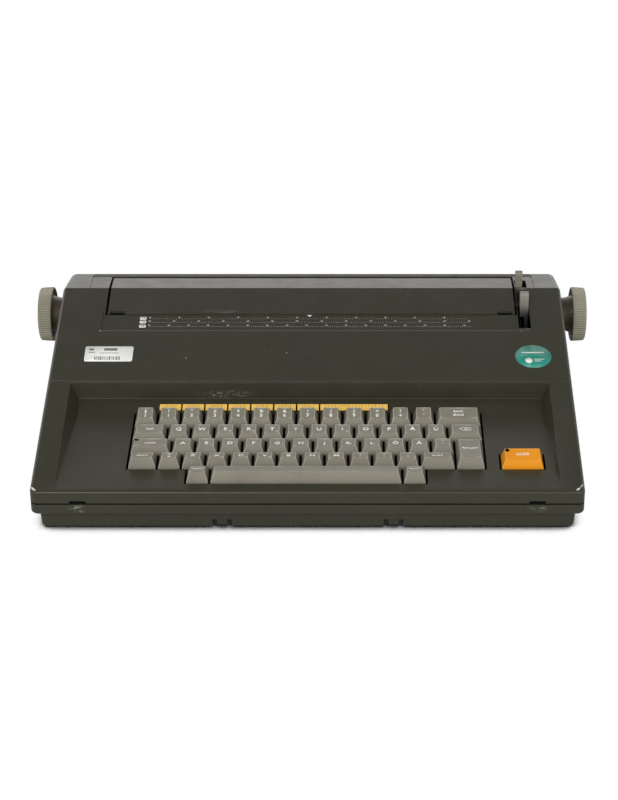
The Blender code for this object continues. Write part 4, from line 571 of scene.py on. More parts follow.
black_plastic = plastic("black_plastic", (0.020, 0.020, 0.021), 0.4, vary=0.12, edge_wear_and_highlight=0.3)
steel = plastic("bright_steel", (0.56, 0.56, 0.56), 0.3, vary=0.08, metallic=1.0, scratch=0.3, grain=300.0)
# Near-black steel, used for painted shade inside the case
black_and_shade_steel = plastic("black_steel_and_shade", (0.022, 0.022, 0.022), 0.55, specular=0.3, vary=0.15, scratch=0.2)
board_green = plastic("board_green", (0.025, 0.11, 0.045), 0.4, vary=0.12, speck=0.9)
copper = plastic("winding", (0.42, 0.18, 0.07), 0.42, vary=0.2, metallic=0.6, grain=240.0, depth=0.0002)

# Looks of the solids that no shape here replaces: by slot, and by node where the slot's look is too bright;
# near black on the key switch plate, the chassis and the two motors paints the shade seen through the key
# gaps, the slots and the lid's finger notches, and the platen shaft is dark steel as well
finishes = {"rubber": rubber, "steel": steel, "black_plastic": black_plastic, "white_plastic": black_plastic,
            "board": board_green, "transformer": copper}
dark_finish_for_shade = {"key_switch_plate": dull_black, "chassis": black_and_shade_steel, "platen_shaft": black_and_shade_steel,
              "line_feed_motor": black_and_shade_steel, "carriage_motor": black_and_shade_steel}
for row in frame["record"]["subparts"]:
    look = dark_finish_for_shade.get(row["node"], finishes.get(row["material_slot"]))
    node = frame["nodes"].get(row["node"])
    if node and look:
        node.data.materials.clear()
        node.data.materials.append(look)


# Case
def build_base():
    levels = [(2.0, 8.1), (2.2, 7.6), (2.7, 7.2), (3.5, 7.0), (14.6, 6.2), (14.9, 5.9), (15.1, 5.2),
              (15.2, 4.4)]
    for i in range(1, 7):
        angle = math.radians(90 * i / 6)
        levels.append((15.3 + 3.3 * (1 - math.cos(angle)), 3.5 * (1 - math.sin(angle))))
    levels += [(GROOVE_Z, 0.0), (GROOVE_Z + 0.05, 1.6), (SEAM_Z, 1.6)]
    outer = tray(levels)
    inner = tray([(5.5, 13.5), (19.9, 11.5), (20.3, 6.0), (23.4, 2.5), (SEAM_Z + OVER, 2.5)])
    feet = []
    for y in (34.0, 296.0):
        feet += both(rod("Z", (178.0, y), 8.3, 0, 4.3))
    notches = both(block((60.0, 0, 0), (76.0, 15.0, 8.0)))
    tabs = both(block((64.0, 8.8, 2.6), (72.0, 16.0, 7.0)))
    vents = [block(((i - 3.5) * 7.0 - 1.3, 200.0, 0), ((i - 3.5) * 7.0 + 1.3, 240.0, 14.0)) for i in range(8)]
    wells = []
    for x, y in ((90.0, 60.0), (150.0, 150.0), (90.0, 262.0)):
        wells += both(rod("Z", (x, y), 4.5, 0, 4.6))
    pan = carve("shell_lower", [outer], [(CUT, [inner]), (CUT, feet),
                                         (CUT, notches), (CUT, vents),
                                         (CUT, wells), (JOIN, tabs)])
    pan = soften(pan, 0.35)
    # The recessed band above the groove takes the near-black look: painted shade in the seam between the two
    # shells
    for polygon in pan.polygons:
        if polygon.center.z > (GROOVE_Z - 0.01) * MM:
            polygon.material_index = 1
    return pan


def build_bezel():
    rings = []
    turned = math.pi / 2 - SLOPE
    foot = slope_z(LIP_ROUND * (1 - math.cos(turned))) - LIP_ROUND * math.sin(turned)
    for i in range(8):
        angle = turned * i / 7
        y = LIP_ROUND * (1 - math.cos(angle))
        rings.append(shell_section(y, 0.0, top=foot + LIP_ROUND * math.sin(angle)))
    for y in (2.0, 3.0, 4.2, CORNER, BEZEL_BACK - EDGE_RUN):
        rings.append(shell_section(y, 0.0, top=slope_z(y)))
    rings.append(shell_section(BEZEL_BACK, 0.0, top=slope_z(BEZEL_BACK) - EDGE_DROP))
    under = [(WALL, 0.0), (WALL, LIP_Z - WALL), (LIP_RUN + WALL / 2, deck_z(LIP_RUN) - WALL),
             (LEDGE_Y, deck_z(LEDGE_Y) - WALL), (BEZEL_BACK + OVER, ledge_z(RECESS_BACK) - WALL),
             (BEZEL_BACK + OVER, 0.0)]
    hollow = extrude(under, "X", WALL - HALF, HALF - WALL)
    wing = [(6.5, deck_z(LIP_RUN) - 2 * WALL), (6.5, slope_z(6.5) - WALL),
            (BEZEL_BACK + OVER, slope_z(BEZEL_BACK + OVER) - WALL),
            (BEZEL_BACK + OVER, deck_z(LIP_RUN) - 2 * WALL)]
    wings = both(extrude(wing, "X", 202.5, HALF - WALL))
    draft = math.tan(math.radians(24))
    recess = []
    for y, z in ((0.0, deck_z(0.0) + 0.02), (LEDGE_Y, deck_z(LEDGE_Y)), (RECESS_BACK, ledge_z(RECESS_BACK))):
        low_half = 199.0 - (slope_z(y) - z) * draft
        high_half = 199.0 + 8.0 * draft
        high = slope_z(y) + 8.0
        recess.append([(-low_half, y, z), (low_half, y, z), (high_half, y, high), (-high_half, y, high)])
    left, right = KEY_X - KEY_GAP, KEY_X + 15 * PITCH + KEY_GAP
    row_one = KEY_V + PITCH
    main = block((left, row_one - KEY_GAP, -10), (right, KEY_V + 5 * PITCH + 0.9, 10))
    space = block((KEY_X + 2.5 * PITCH - KEY_GAP, KEY_V - KEY_GAP, -10),
                  (KEY_X + 12.5 * PITCH + KEY_GAP, row_one + 4, 10))
    code = block((CODE_X - CODE_HOLE_HALF, row_one - KEY_GAP, -10),
                 (CODE_X + CODE_HOLE_HALF, row_one + PITCH + KEY_GAP, 10))
    latches = both(block((174.0, -OVER, 0), (187.0, WALL + LAP, SHELL_Z + 1.9)))
    bezel = carve("shell_front", [loft(rings)], [
        (CUT, [hollow]), (CUT, wings), (CUT, [loft(recess)]),
        (CUT, [mapped(main, on_deck), mapped(code, on_deck)]),
        (CUT, [mapped(space, on_deck)]), (CUT, latches)])
    return soften(bezel, 0.4)


def hinge_ear(x, y, z, bracket_x):
    ear = rod("X", (y, z), 2.7, x - 2.5, x)
    pin = rod("X", (y, z), 1.5, x - LAP, bracket_x + 2.1)
    return both(ear), both(pin)


def hinge_bracket(x, y, z):
    front, back, low = y - 3.0, y + 3.0, z - 7.0
    outline = [(front, case_top(front) - LAP), (back, case_top(back) - LAP), (back, low), (front, low)]
    return both(extrude(outline, "X", x, x + 3.0)), both(rod("X", (y, z), 1.8, x - OVER, x + 2.4))


LID_AXIS = (LID_BACK - 2.0, TOP - 3.0)
SUPPORT_AXIS = (SUPPORT_BACK - 1.0, case_top(SUPPORT_BACK - 1.0) - 3.0)


def build_cover():
    front = BEZEL_BACK + 0.3
    wall_y = DEPTH - REAR_ROUND
    # The inner loft shares the outer one's stations, so that no side face of it breaks through the wall
    shared = [CREASE_Y + FLAT * share for share in (0.0, 0.25, 0.5, 0.75, 1.0)] + [285.0, 300.0, 312.0]
    stations = [front + EDGE_RUN] + shared + [wall_y]
    stations += [wall_y + REAR_ROUND * math.sin(math.radians(a)) for a in (15, 30, 45, 60, 75, 90)]
    outer = [shell_section(front, 0.0, top=slope_z(front) - EDGE_DROP)]
    outer += [shell_section(y, 0.0) for y in stations]
    inner = [shell_section(y, WALL, low=0.0) for y in [front - OVER] + shared + [wall_y]]
    inner[-1] = [(x, DEPTH - WALL, z) for x, _, z in inner[-1]]
    high, low = TOP + OVER, case_top(SUPPORT_BACK) - 2 * WALL
    lid_hole = block((-LID_HOLE_HALF, LID_FRONT, low), (LID_HOLE_HALF, LID_BACK + SLOT, high))
    support_hole = block((-SUPPORT_HOLE_HALF, LID_BACK + SLOT - 0.6, low),
                         (SUPPORT_HOLE_HALF, SUPPORT_BACK + 2.6, high))
    scale = [(SCALE_FRONT, slope_z(SCALE_FRONT)),
             (SCALE_FRONT + 2.0, slope_z(SCALE_FRONT + 2.0) - SCALE_DEPTH),
             (LID_FRONT + LAP, slope_z(LID_FRONT + LAP) - SCALE_DEPTH),
             (LID_FRONT + LAP, slope_z(LID_FRONT) + OVER), (SCALE_FRONT, slope_z(SCALE_FRONT) + OVER)]
    left, right = LEVER_SLOT
    levers = [block((left, y0, low), (right, y1, high)) for y0, y1 in ((187.6, 232.0), (236.5, 253.6))]
    ramp = [(181.0, slope_z(181.0)), (188.0, slope_z(188.0) - 2.2), (188.0, slope_z(188.0) + OVER),
            (181.0, slope_z(181.0) + OVER)]
    grooves = both(block((194.6, CREASE_Y + 0.5, TOP - 0.6),
                         (SUPPORT_HOLE_HALF, LID_BACK + SLOT, TOP + OVER)))
    shaft = both(rod("X", PLATEN, 6.5, 200.0, HALF + OVER))
    lid_body, lid_bore = hinge_bracket(LID_HOLE_HALF, *LID_AXIS)
    flap_body, flap_bore = hinge_bracket(SUPPORT_HOLE_HALF, *SUPPORT_AXIS)
    pad = block((141.0, 322.0, 30.0), (163.0, DEPTH - WALL + LAP, 62.0))
    switch = block((145.2, 318.0, 34.2), (158.8, DEPTH + OVER, 57.8))
    inlet = block((-163.3, 308.0, 36.7), (-136.7, DEPTH + OVER, 55.3))
    sockets = rod("X", (326.0, 46.0), 1.8, 143.9, 160.1)
    recesses = [rod("Y", (x, 36.0), 3.6, DEPTH - 1.6, DEPTH + OVER) for x in (-196.0, -60.0, 60.0, 196.0)]
    cover = carve("shell_rear", [loft(outer)], [
        (CUT, [loft(inner)]), (JOIN, lid_body), (JOIN, flap_body), (JOIN, [pad]),
        (CUT, lid_bore), (CUT, flap_bore), (CUT, [lid_hole]),
        (CUT, [support_hole]), (CUT, [extrude(scale, "X", -SCALE_HALF, SCALE_HALF)]),
        (CUT, levers), (CUT, [extrude(ramp, "X", left, right)]), (CUT, grooves),
        (CUT, shaft), (CUT, [switch, inlet]), (CUT, [sockets]),
        (CUT, recesses)])
    return soften(cover, 0.35)


def panel(front, back, half):
    """Flush panel that follows the case's top line, in rings from front to back."""
    rings = []
    for y in [front] + [y for y in (CREASE_Y, REAR_Y) if front < y < back] + [back]:
        z = case_top(y)
        rings.append([(-half, y, z - WALL), (half, y, z - WALL), (half, y, z), (-half, y, z)])
    return loft(rings)


def build_lid():
    lid = panel(LID_FRONT + 0.8, LID_BACK, LID_HALF)
    ears, pins = hinge_ear(LID_HALF - 1.0, *LID_AXIS, LID_HALF + 2.0)
    z = slope_z(LID_FRONT)
    grips = both(block((LID_HALF - 15.0, LID_FRONT - OVER, z - 5.0),
                       (LID_HALF - 2.0, LID_FRONT + 4.0, z + 5.0)))
    mesh = carve("lid_panel", [lid], [(JOIN, ears), (JOIN, pins), (CUT, grips)])
    return soften(mesh, 0.35)


def build_support():
    flap = panel(LID_BACK + SLOT, SUPPORT_BACK, SUPPORT_HALF)
    ears, pins = hinge_ear(SUPPORT_HALF - 1.0, *SUPPORT_AXIS, SUPPORT_HALF + 0.6)
    return soften(carve("support_panel", [flap], [(JOIN, ears), (JOIN, pins)]), 0.35)


dress("shell_lower", build_base(), [case, dull_black], "machine", ["base_pan"])
dress("shell_front", build_bezel(), [case], "machine", ["keyboard_bezel"])
dress("shell_rear", build_cover(), [case], "machine", ["top_cover"])
dress("lid_panel", build_lid(), [case], "lid", ["access_lid"])
dress("support_panel", build_support(), [rear_plastic], "support", ["paper_support"])


# Knobs: ribbed rim, hollow at the outer end, on a waisted neck
NECK_RINGS = 6


def knob_shape(side):
    ribs, per_rib, rib_depth = 64, 6, 0.95
    count = ribs * per_rib
    smooth = [(220.0, 14.5), (222.0, 14.5), (224.5, 14.7), (227.0, 15.2), (229.8, 16.2), (233.0, 17.0),
              (233.4, 17.4), (233.4, 21.2), (233.0, 21.8), (231.3, 22.2), (231.0, 22.5)]
    ribbed = [(231.2, 23.6), (231.8, 24.1), (232.4, 24.2), (241.6, 23.6), (242.4, 23.3), (242.8, 22.9)]
    closing = [(243.0, 22.3), (243.0, 19.9), (242.6, 19.5), (235.6, 18.7), (235.0, 18.2), (235.0, 8.4),
               (235.4, 8.0), (237.4, 7.3), (238.0, 6.8)]
    rings = []
    for group, depth in ((smooth, 0.0), (ribbed, rib_depth), (closing, 0.0)):
        for along, radius in group:
            ring = []
            for i in range(count):
                angle = 2 * math.pi * (i + 0.5) / count
                dip = depth if i % per_rib in (0, 1) else 0.0
                r = radius - dip
                ring.append((side * along, PLATEN[0] + r * math.cos(angle), PLATEN[1] + r * math.sin(angle)))
            rings.append(ring)
    return loft(rings), NECK_RINGS * count


for side, node_name in ((-1, "left_knob"), (1, "right_knob")):
    shape, neck_faces = knob_shape(side)
    mesh = parts_mesh(node_name + "_ribbed", [(shape, 0, ())], 40.0)
    for number, polygon in enumerate(mesh.polygons):
        if 2 <= number < 2 + neck_faces:
            polygon.material_index = 1
    dress(node_name + "_ribbed", mesh, [knob_plastic, neck_plastic], "platen", [node_name])


# Levers
def bar_outline(start, end, width, round_end=True, steps=8):
    dy, dz = end[0] - start[0], end[1] - start[1]
    length = math.hypot(dy, dz)
    ty, tz = dy / length, dz / length
    half = width / 2
    outline = [(start[0] + tz * half, start[1] - ty * half)]
    if round_end:
        cy, cz = end[0] - ty * half, end[1] - tz * half
        for i in range(steps + 1):
            angle = math.radians(-90 + 180 * i / steps)
            along, across = math.cos(angle) * half, math.sin(angle) * half
            outline.append((cy + ty * along - tz * across, cz + tz * along + ty * across))
    else:
        outline += [(end[0] + tz * half, end[1] - ty * half), (end[0] - tz * half, end[1] + ty * half)]
    outline.append((start[0] - tz * half, start[1] + ty * half))
    return outline


def build_release():
    pivot, tip = (208.0, 66.0), (214.0, 119.5)
    arm = extrude(bar_outline(pivot, (213.4, 114.0), 6.0, False), "X", 184.7, 187.7)
    hub = rod("X", pivot, 5.0, 184.9, 188.1)
    foot = extrude(bar_outline(pivot, (240.0, 52.0), 6.0), "X", 184.9, 187.5)
    pin = rod("X", pivot, 2.5, 182.1, 186.2)
    share = 22.0 / math.dist(pivot, tip)
    neck = (tip[0] + (pivot[0] - tip[0]) * share, tip[1] + (pivot[1] - tip[1]) * share)
    head = extrude(bar_outline(neck, tip, 7.0), "X", 180.8, 188.1)
    mesh = carve("release_lever", [arm], [(JOIN, [hub]), (JOIN, [foot]), (JOIN, [pin]),
                                          (JOIN, [head])])
    return soften(mesh, 0.9, 50.0, 4)


def build_bail():
    pivot, centre, tip = (246.0, 68.0), (243.4, 94.8), (240.0, 128.4)
    arms = both(extrude(bar_outline(pivot, centre, 6.0, False), "X", 175.0, 178.0))
    pins = both(rod("X", pivot, 2.5, 176.5, 184.0))
    cross = rod("X", centre, 2.0, -176.5, 184.2)
    handle = extrude(bar_outline(centre, tip, 6.0), "X", 178.6, 184.6)
    mesh = carve("bail_lever", arms, [(JOIN, pins), (JOIN, [cross]), (JOIN, [handle])])
    return soften(mesh, 0.8, 50.0, 4)


dress("release_lever", build_release(), [release_plastic], "release_lever", ["paper_release_lever"])
dress("bail_lever", build_bail(), [lever_plastic], "bail", ["paper_bail"])

# Lettering
words = {}


def word(text, size, lift=0.05):
    """Thin closed shape of a text, centred, in millimetres."""
    key = (text, size, lift)
    if key not in words:
        curve = bpy.data.curves.new("word", "FONT")
        curve.body = text
        curve.size = size
        curve.align_x = "CENTER"
        curve.align_y = "CENTER"
        curve.resolution_u = 3
        curve.offset = 0.034 * size
        curve.space_character = 1.06
        curve.extrude = lift
        item = add("word", curve)
        depsgraph = bpy.context.evaluated_depsgraph_get()
        mesh = bpy.data.meshes.new_from_object(item.evaluated_get(depsgraph))
        shaped = bmesh.new()
        shaped.from_mesh(mesh)
        bmesh.ops.remove_doubles(shaped, verts=shaped.verts, dist=0.0001)
        shaped.verts.index_update()
        faces = [tuple(v.index for v in f.verts) for f in shaped.faces]
        words[key] = ([tuple(v.co) for v in shaped.verts], faces)
        shaped.free()
        bpy.data.objects.remove(item, do_unlink=True)
        bpy.data.meshes.remove(mesh)
    return words[key]


# Keys
class Cap:
    """One key cap, placed on the deck."""

    def __init__(self, x, width, row, rows_high=1, kind="letter", rise=0.0, tilt=None, reach=KEY_TOP_DEPTH):
        self.x, self.kind = x, kind
        self.half = (width - CAP_SIDE_GAP) / 2
        self.depth = rows_high * PITCH - CAP_END_GAP
        self.middle = KEY_V + row * PITCH + CAP_END_GAP / 2 + self.depth / 2
        self.height = ROW_HEIGHTS[row] + rise
        half_top = (reach + (rows_high - 1) * PITCH) / 2
        tilt = ROW_TILTS[row] if tilt is None else tilt
        self.top_half = self.half - KEY_SLANT
        self.top_run = half_top * math.cos(tilt)
        self.top_rise = half_top * math.sin(tilt) / rows_high

    def top(self, x, s, lift=0.0):
        """Deck point on the cap's top: across, up the top, and out of it."""
        a = max(min(x / self.top_half, 1.0), -1.0)
        b = max(min(s / self.top_run, 1.0), -1.0)
        dish = -0.5 * b * b if self.kind == "space" else -0.9 * (1 - a * a)
        return self.x + x, self.middle + s, self.height + self.top_rise * s / self.top_run + dish + lift

    def corner_ring(self, half_x, half_y, radius, steps=4, across=8, along=4):
        """Rounded outline with points on its straight sides, so that the top can dish."""
        outline = rounded_rect(0.0, 0.0, 2 * half_x, 2 * half_y, radius, steps)
        ring = []
        for i, (x, y) in enumerate(outline):
            ring.append((x, y))
            if i % (steps + 1) == steps:
                nx, ny = outline[(i + 1) % len(outline)]
                count = along if i == steps or i == 3 * steps + 2 else across
                ring += [(x + (nx - x) * k / count, y + (ny - y) * k / count) for k in range(1, count)]
        return ring

    def shape(self):
        rings = []
        for inset, level in ((0.3, -1.5), (0.0, -1.2), (0.0, 0.0)):
            rings.append([(self.x + x, self.middle + y, level)
                          for x, y in self.corner_ring(self.half - inset, self.depth / 2 - inset, 0.8)])
        slant = self.half - self.top_half
        for share, radius in ((0.5, 0.75), (0.9, 0.7), (0.965, 0.7)):
            half_x = self.half - slant * share
            half_y = self.depth / 2 + (self.top_run - self.depth / 2) * share
            ring = []
            for x, y in self.corner_ring(half_x, half_y, radius):
                n = (self.height + self.top_rise * y / half_y) * share
                ring.append((self.x + x, self.middle + y, n))
            rings.append(ring)
        for inset, drop in ((0.06, 0.08), (0.2, 0.02), (0.4, 0.0)):
            ring = []
            for x, y in self.corner_ring(self.top_half - inset, self.top_run - inset, 0.7):
                px, py, n = self.top(x, y)
                ring.append((px, py, n - drop))
            rings.append(ring)
        count = len(rings[0])
        # Faces along the top edges and the rounded corners, lighter in the material: partly rubbing, partly a
        # painted highlight along the crisp edges
        worn_and_lit = set(range(2 + count * 5, 2 + count * 8))
        for ring_number in (2, 3, 4):
            worn_and_lit |= {2 + count * ring_number + i for i in (1, 2, count - 11, count - 10)}
        for share in (0.8, 0.55, 0.3, 0.08):
            ring = []
            for x, y in self.corner_ring(self.top_half - 0.4, self.top_run - 0.4, 0.7):
                ring.append(self.top(x * share, y * share))
            rings.append(ring)
        return loft(rings), worn_and_lit

    def stems(self):
        places = (-55.0, 0.0, 55.0) if self.kind == "space" else (0.0,)
        return [block((self.x + p - 2, self.middle - 2, -12.0), (self.x + p + 2, self.middle + 2, 1.0))
                for p in places]

    def legend(self, text, size, dx=0.0, ds=0.0):
        points, faces = word(text, size)
        return [self.top(dx + x, ds + y, z + 0.03) for x, y, z in points], faces


def make_cap(name, cap, body, nodes, legends, look=key_plastic):
    shape, worn_and_lit = cap.shape()
    parts = [(mapped(shape, on_deck), 0, worn_and_lit)]
    parts += laid(cap.stems(), on_deck)
    parts += laid([cap.legend(*legend) for legend in legends], on_deck, 1)
    mesh = parts_mesh(name, parts, 34.0)
    return dress(name, mesh, [look, legend_white], body, nodes, weighted=False)


def unit_x(units):
    return KEY_X + units * PITCH


ROWS = (
    ("number_keys", 4, 0.0, (5, 4, 4), ["§1", "!1", "\"2", "£3", "$4", "%5", "&6", "/7", "(8", ")9", "=0",
                                       "?+", "`´"]),
    ("letter_top_keys", 3, 1.5, (4, 4, 4), list("QWERTYUIOPÅÜ")),
    ("letter_home_keys", 2, 1.75, (4, 4, 4), list("ASDFGHJKLÖÄ") + ["*'"]),
    ("letter_low_keys", 1, 1.25, (4, 4, 3), ["><"] + list("ZXCVBNM") + [";,", ":.", "_-"]),
)
SUB_MARKS = "ERTIXCV"
LETTER_PLACES = {1: 0.6, 2: -0.6, 3: 0.2}
for row_name, row, start, sizes, texts in ROWS:
    number = 0
    for group, size in enumerate(sizes, 1):
        block_name = f"{row_name}_{group}"
        for _ in range(size):
            text = texts[number]
            cap = Cap(unit_x(start + number + 0.5), PITCH, row)
            if len(text) == 2:
                legends = [(text[0], 4.4, 0.0, 2.5), (text[1], 4.9, 0.0, -2.3)]
            else:
                legends = [(text, 6.0, 0.0, LETTER_PLACES[row])]
                if text in SUB_MARKS:
                    legends.append(("~", 3.4, 3.9, -3.4))
            make_cap(f"cap_{row}_{number:02d}", cap, block_name, [block_name], legends)
            number += 1

SINGLES = (
    ("backspace_key", 4, 13.0, 2.0, 1, [("BACK", 3.0, 0.0, 2.2), ("SPACE", 3.0, 0.0, -1.8)]),
    ("tab_key", 3, 0.0, 1.5, 1, [("TAB", 3.3, 0.0, 0.5)]),
    ("correction_key", 3, 13.5, 1.5, 1, []),
    ("lock_key", 2, 0.0, 1.75, 1, [("LOCK", 3.2, 0.0, -0.5)]),
    ("return_key", 1, 13.75, 1.25, 2, [("RETURN", 3.1, 0.0, 0.8)]),
    ("left_shift_key", 1, 0.0, 1.25, 1, [("SHIFT", 3.4, 0.0, 0.6)]),
    ("right_shift_key", 1, 12.25, 1.5, 1, [("SHIFT", 3.4, 0.0, 0.6)]),
    ("repeat_key", 0, 2.5, 1.0, 1, [("REPEAT", 2.6, 0.0, 1.8)]),
    ("space_bar", 0, 3.5, 8.0, 1, []),
    ("relocate_key", 0, 11.5, 1.0, 1, [("RELOC", 2.7, 0.0, 1.8)]),
)
for node_name, row, start, width, high, legends in SINGLES:
    kind = "space" if node_name == "space_bar" else "letter"
    cap = Cap(unit_x(start + width / 2), width * PITCH, row, high, kind)
    make_cap(node_name + "_cap", cap, node_name, [node_name], legends)
code_cap = Cap(CODE_X, CODE_WIDTH, 1, rise=0.8, tilt=math.radians(8.0), reach=13.0)
make_cap("code_key_cap", code_cap, "code_key", ["code_key"], [("CODE", 3.6, 0.0, 0.8)], orange)
lock_cap = Cap(unit_x(0.875), 1.75 * PITCH, 2)


def lamp_dot(name, cap, dx, ds, body):
    """Small dark lens let into a key."""
    rings = []
    for radius, lift in ((1.75, -0.4), (1.75, 0.12), (1.4, 0.25), (0.7, 0.3)):
        rings.append([cap.top(x, s, lift) for x, s in ellipse(dx, ds, radius, radius, 20)])
    dress_flat(name, laid([loft(rings)], on_deck), [dull_black], body)


lamp_dot("lock_lamp", lock_cap, -11.5, 3.6, "lock_key")
lamp_dot("code_lamp", code_cap, -12.0, 4.4, "code_key")


def bent_bar(x0, s0, x1, s1, width):
    """Flat stroke between two points of a key's top."""
    dx, ds = x1 - x0, s1 - s0
    length = math.hypot(dx, ds)
    nx, ns = -ds / length * width / 2, dx / length * width / 2
    outline = [(x0 + nx, s0 + ns), (x1 + nx, s1 + ns), (x1 - nx, s1 - ns), (x0 - nx, s0 - ns)]
    return extrude(outline, "Z", -0.1, 0.08)


correction = Cap(unit_x(14.25), 1.5 * PITCH, 3)
arrow = [(-4.6, 0.4, -2.2, 2.4), (-2.2, 2.4, 4.4, 2.4), (4.4, 2.4, 4.4, -1.6), (4.4, -1.6, -2.2, -1.6),
         (-2.2, -1.6, -4.6, 0.4), (-0.6, 1.4, 2.4, -0.6), (-0.6, -0.6, 2.4, 1.4)]
strokes = laid([mapped(bent_bar(*a, 0.55), correction.top) for a in arrow], on_deck)
dress_flat("correction_mark", strokes, [legend_white], "correction_key")


# Amber strip in tiles on a dark carrier
def on_ledge(x, along, out):
    start = LEDGE_Y + 4.9
    return (x, start + along * math.cos(LEDGE) - out * math.sin(LEDGE),
            ledge_z(start) + along * math.sin(LEDGE) + out * math.cos(LEDGE))


carrier = block((unit_x(1), 0.0, 0.3), (unit_x(11), STRIP_LENGTH, 0.55))
dress_flat("strip_carrier", laid([carrier], on_ledge), [dull_black])
tiles = []
edges = [1, 2, 3, 4, 5, 6, 7, 8, 11]
for first, last in zip(edges, edges[1:]):
    x0, x1 = unit_x(first) + 0.65, unit_x(last) - 0.65
    tiles.append(mapped(block((x0, 0.1, 0.5), (x1, STRIP_LENGTH - 0.1, 1.1)), on_ledge))
dress("legend_tiles", soften(carve("legend_tiles", tiles, []), 0.2), [amber], "machine", ["legend_strip"])
ticks = []
for first, last in zip(edges, edges[1:]):
    count = 6 * (last - first)
    for i in range(count):
        x = unit_x(first) + 5.0 + i * ((last - first) * PITCH - 10.0) / max(count - 1, 1)
        ticks.append(block((x - 0.35, 4.2, 0.9), (x + 0.35, 5.3 + 0.5 * (i % 2), 1.13)))
dress_flat("legend_ticks", laid(ticks, on_ledge), [ink_brown])


# Scale print under the lid
def field(x, y, n):
    return on_slope(x, y, n - SCALE_DEPTH * math.cos(SLOPE))


def triangle(x, y, width, height):
    return extrude([(x - width / 2, y + height / 2), (x, y - height / 2), (x + width / 2, y + height / 2)],
                   "Z", -0.05, 0.04)


SCALE_ROWS = ((198.1, 2.54), (193.6, 2.117), (188.4, 1.693))
marks = []
for y, pitch in SCALE_ROWS:
    x, number = -139.1, 0
    while x <= 137.5:
        if number % 10 == 0:
            marks.append(triangle(x, y + 0.6, 3.0, 2.3))
        else:
            marks.append(block((x - 0.28, y - 0.9, -0.05), (x + 0.28, y - 0.2, 0.04)))
        number += 1
        x += pitch
dress_flat("scale_print", laid(marks, field), [print_white])
boxes, digits = [], []
for (y, _), text in zip(SCALE_ROWS, ("10", "12", "15")):
    boxes.append(extrude(rounded_rect(-144.8, y, 5.6, 3.6, 0.9), "Z", -0.05, 0.05))
    points, faces = word(text, 3.2)
    digits.append(([(-144.8 + px, y + py, pz + 0.06) for px, py, pz in points], faces))
boxes.append(triangle(-1.4, 201.0, 4.6, 2.2))
dress_flat("scale_boxes", laid(boxes, field) + laid(digits, field, 1), [legend_white, label_grey])

# Stickers, with plain bars in place of words
def ink_bar(x0, x1, y, thick):
    return block((x0, y - thick / 2, INK[0]), (x1, y + thick / 2, INK[1]))


sticker = extrude(rounded_rect(-170.2, 153.5, 40.6, 18.0, 1.8), "Z", *LABEL)
bars = [ink_bar(*bar) for bar in ((-187.2, -183.4, 158.8, 2.2), (-174.6, -163.4, 158.8, 2.8),
                                  (-187.4, -182.0, 155.2, 0.7), (-178.0, -162.0, 154.6, 0.6))]
x = -182.0
while x < -160.5:
    width = random.choice((0.4, 0.7, 1.1))
    bars.append(block((x, 146.3, INK[0]), (x + width, 150.4, INK[1])))
    x += width + random.choice((0.5, 0.8))
dress_flat("price_label", laid([sticker], on_slope) + laid(bars, on_slope, 1), [label_white, label_grey])
oval = extrude(ellipse(188.0, 150.5, 15.2, 13.6, 64), "Z", *LABEL)
inked = [extrude(ellipse(184.0, 145.8, 3.1, 3.1, 28), "Z", *INK)]
inked += [ink_bar(*bar) for bar in ((178.5, 197.5, 155.2, 1.0), (188.5, 197.0, 147.2, 0.7),
                                    (188.5, 194.5, 145.0, 0.7))]
dress_flat("seal_label", laid([oval], on_slope) + laid(inked, on_slope, 1), [label_green, legend_white])


# Stage, light and camera
def build_floor():
    mesh = bpy.data.meshes.new("floor")
    mesh.from_pydata([(-6, -6, 0), (6, -6, 0), (6, 6, 0), (-6, 6, 0)], [], [(0, 1, 2, 3)])
    floor = add("floor", mesh)
    material, tree, _ = new_tree("floor_white")
    tree.nodes.clear()
    output = tree.nodes.new("ShaderNodeOutputMaterial")
    plain = tree.nodes.new("ShaderNodeBsdfDiffuse")
    plain.inputs["Color"].default_value = (0.78, 0.78, 0.77, 1)
    seen = tree.nodes.new("ShaderNodeEmission")
    occlusion = tree.nodes.new("ShaderNodeAmbientOcclusion")
    occlusion.inputs["Distance"].default_value = 0.02
    occlusion.samples = 8
    tree.links.new(spread(tree, occlusion.outputs["AO"], 0.40, 0.53, 0.02, 1.0), seen.inputs["Strength"])
    path = tree.nodes.new("ShaderNodeLightPath")
    mix = tree.nodes.new("ShaderNodeMixShader")
    tree.links.new(path.outputs["Is Camera Ray"], mix.inputs[0])
    tree.links.new(plain.outputs[0], mix.inputs[1])
    tree.links.new(seen.outputs[0], mix.inputs[2])
    tree.links.new(mix.outputs[0], output.inputs["Surface"])
    mesh.materials.append(material)


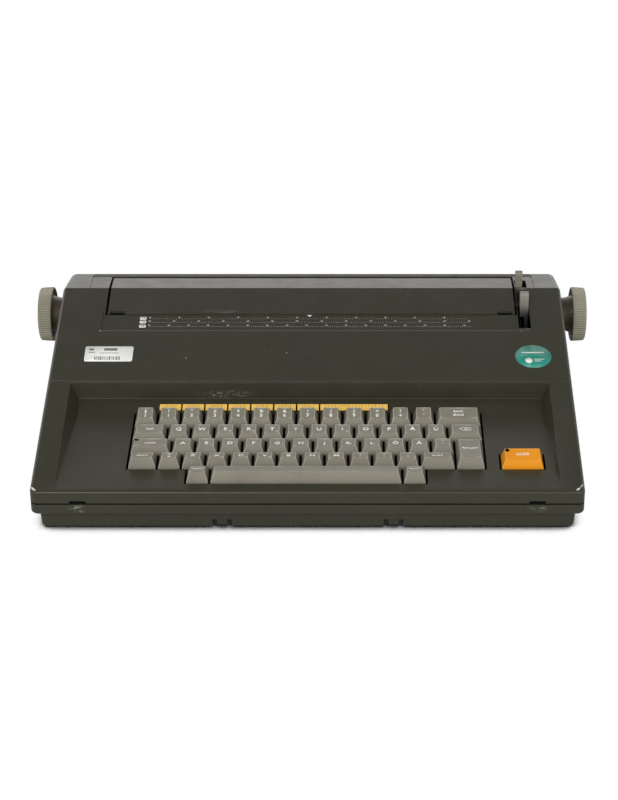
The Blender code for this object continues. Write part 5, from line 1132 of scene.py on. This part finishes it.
def build_world():
    world = bpy.data.worlds.new("studio")
    bpy.context.scene.world = world
    world.use_nodes = True
    tree = world.node_tree
    tree.nodes.clear()
    output = tree.nodes.new("ShaderNodeOutputWorld")
    ambient = tree.nodes.new("ShaderNodeBackground")
    ambient.inputs["Color"].default_value = (1.0, 0.985, 0.93, 1)
    ambient.inputs["Strength"].default_value = 0.34
    white = tree.nodes.new("ShaderNodeBackground")
    white.inputs["Color"].default_value = (1, 1, 1, 1)
    white.inputs["Strength"].default_value = 1.0
    direction = tree.nodes.new("ShaderNodeTexCoord")
    parts = tree.nodes.new("ShaderNodeSeparateXYZ")
    tree.links.new(direction.outputs["Generated"], parts.inputs[0])
    low = spread(tree, parts.outputs["Z"], 0.55, 0.75, 1.0, 0.0)
    path = tree.nodes.new("ShaderNodeLightPath")
    glossy = product(tree, path.outputs["Is Glossy Ray"], low)
    either = tree.nodes.new("ShaderNodeMath")
    either.operation = "MAXIMUM"
    tree.links.new(glossy, either.inputs[0])
    tree.links.new(path.outputs["Is Camera Ray"], either.inputs[1])
    through = tree.nodes.new("ShaderNodeMath")
    through.operation = "MAXIMUM"
    tree.links.new(either.outputs[0], through.inputs[0])
    tree.links.new(path.outputs["Is Transmission Ray"], through.inputs[1])
    mix = tree.nodes.new("ShaderNodeMixShader")
    tree.links.new(through.outputs[0], mix.inputs[0])
    tree.links.new(ambient.outputs[0], mix.inputs[1])
    tree.links.new(white.outputs[0], mix.inputs[2])
    tree.links.new(mix.outputs[0], output.inputs["Surface"])


def softbox(name, place, target, width, height, power, colour=(1, 1, 1)):
    light = bpy.data.lights.new(name, "AREA")
    light.shape = "RECTANGLE"
    light.size = width
    light.size_y = height
    light.energy = power
    light.color = colour
    item = add(name, light)
    item.location = place
    item.rotation_euler = (Vector(target) - Vector(place)).to_track_quat("-Z", "Y").to_euler()


build_floor()
build_world()
softbox("key_light", (-0.8, -1.9, 1.35), (0, 0, 0.05), 1.2, 0.9, 27.0)
softbox("fill_light", (1.1, -1.8, 1.1), (0, 0, 0.05), 1.1, 0.9, 14.0)
softbox("back_light", (-0.2, 1.35, 0.62), (0, 0.1, 0.1), 2.6, 0.9, 7.0, (1.0, 0.95, 0.95))

camera_data = bpy.data.cameras.new("camera")
camera_data.sensor_fit = "AUTO"
camera_data.sensor_width = 36.0
camera_data.lens = 85.275
camera_data.shift_x = -0.05
camera_data.clip_end = 50.0
camera = add("camera", camera_data)
camera.location = (0.0326, -1.4781, 0.7277)
camera.rotation_euler = (math.radians(65), 0, 0)
bpy.context.scene.camera = camera
bpy.context.scene.view_settings.view_transform = "Standard"
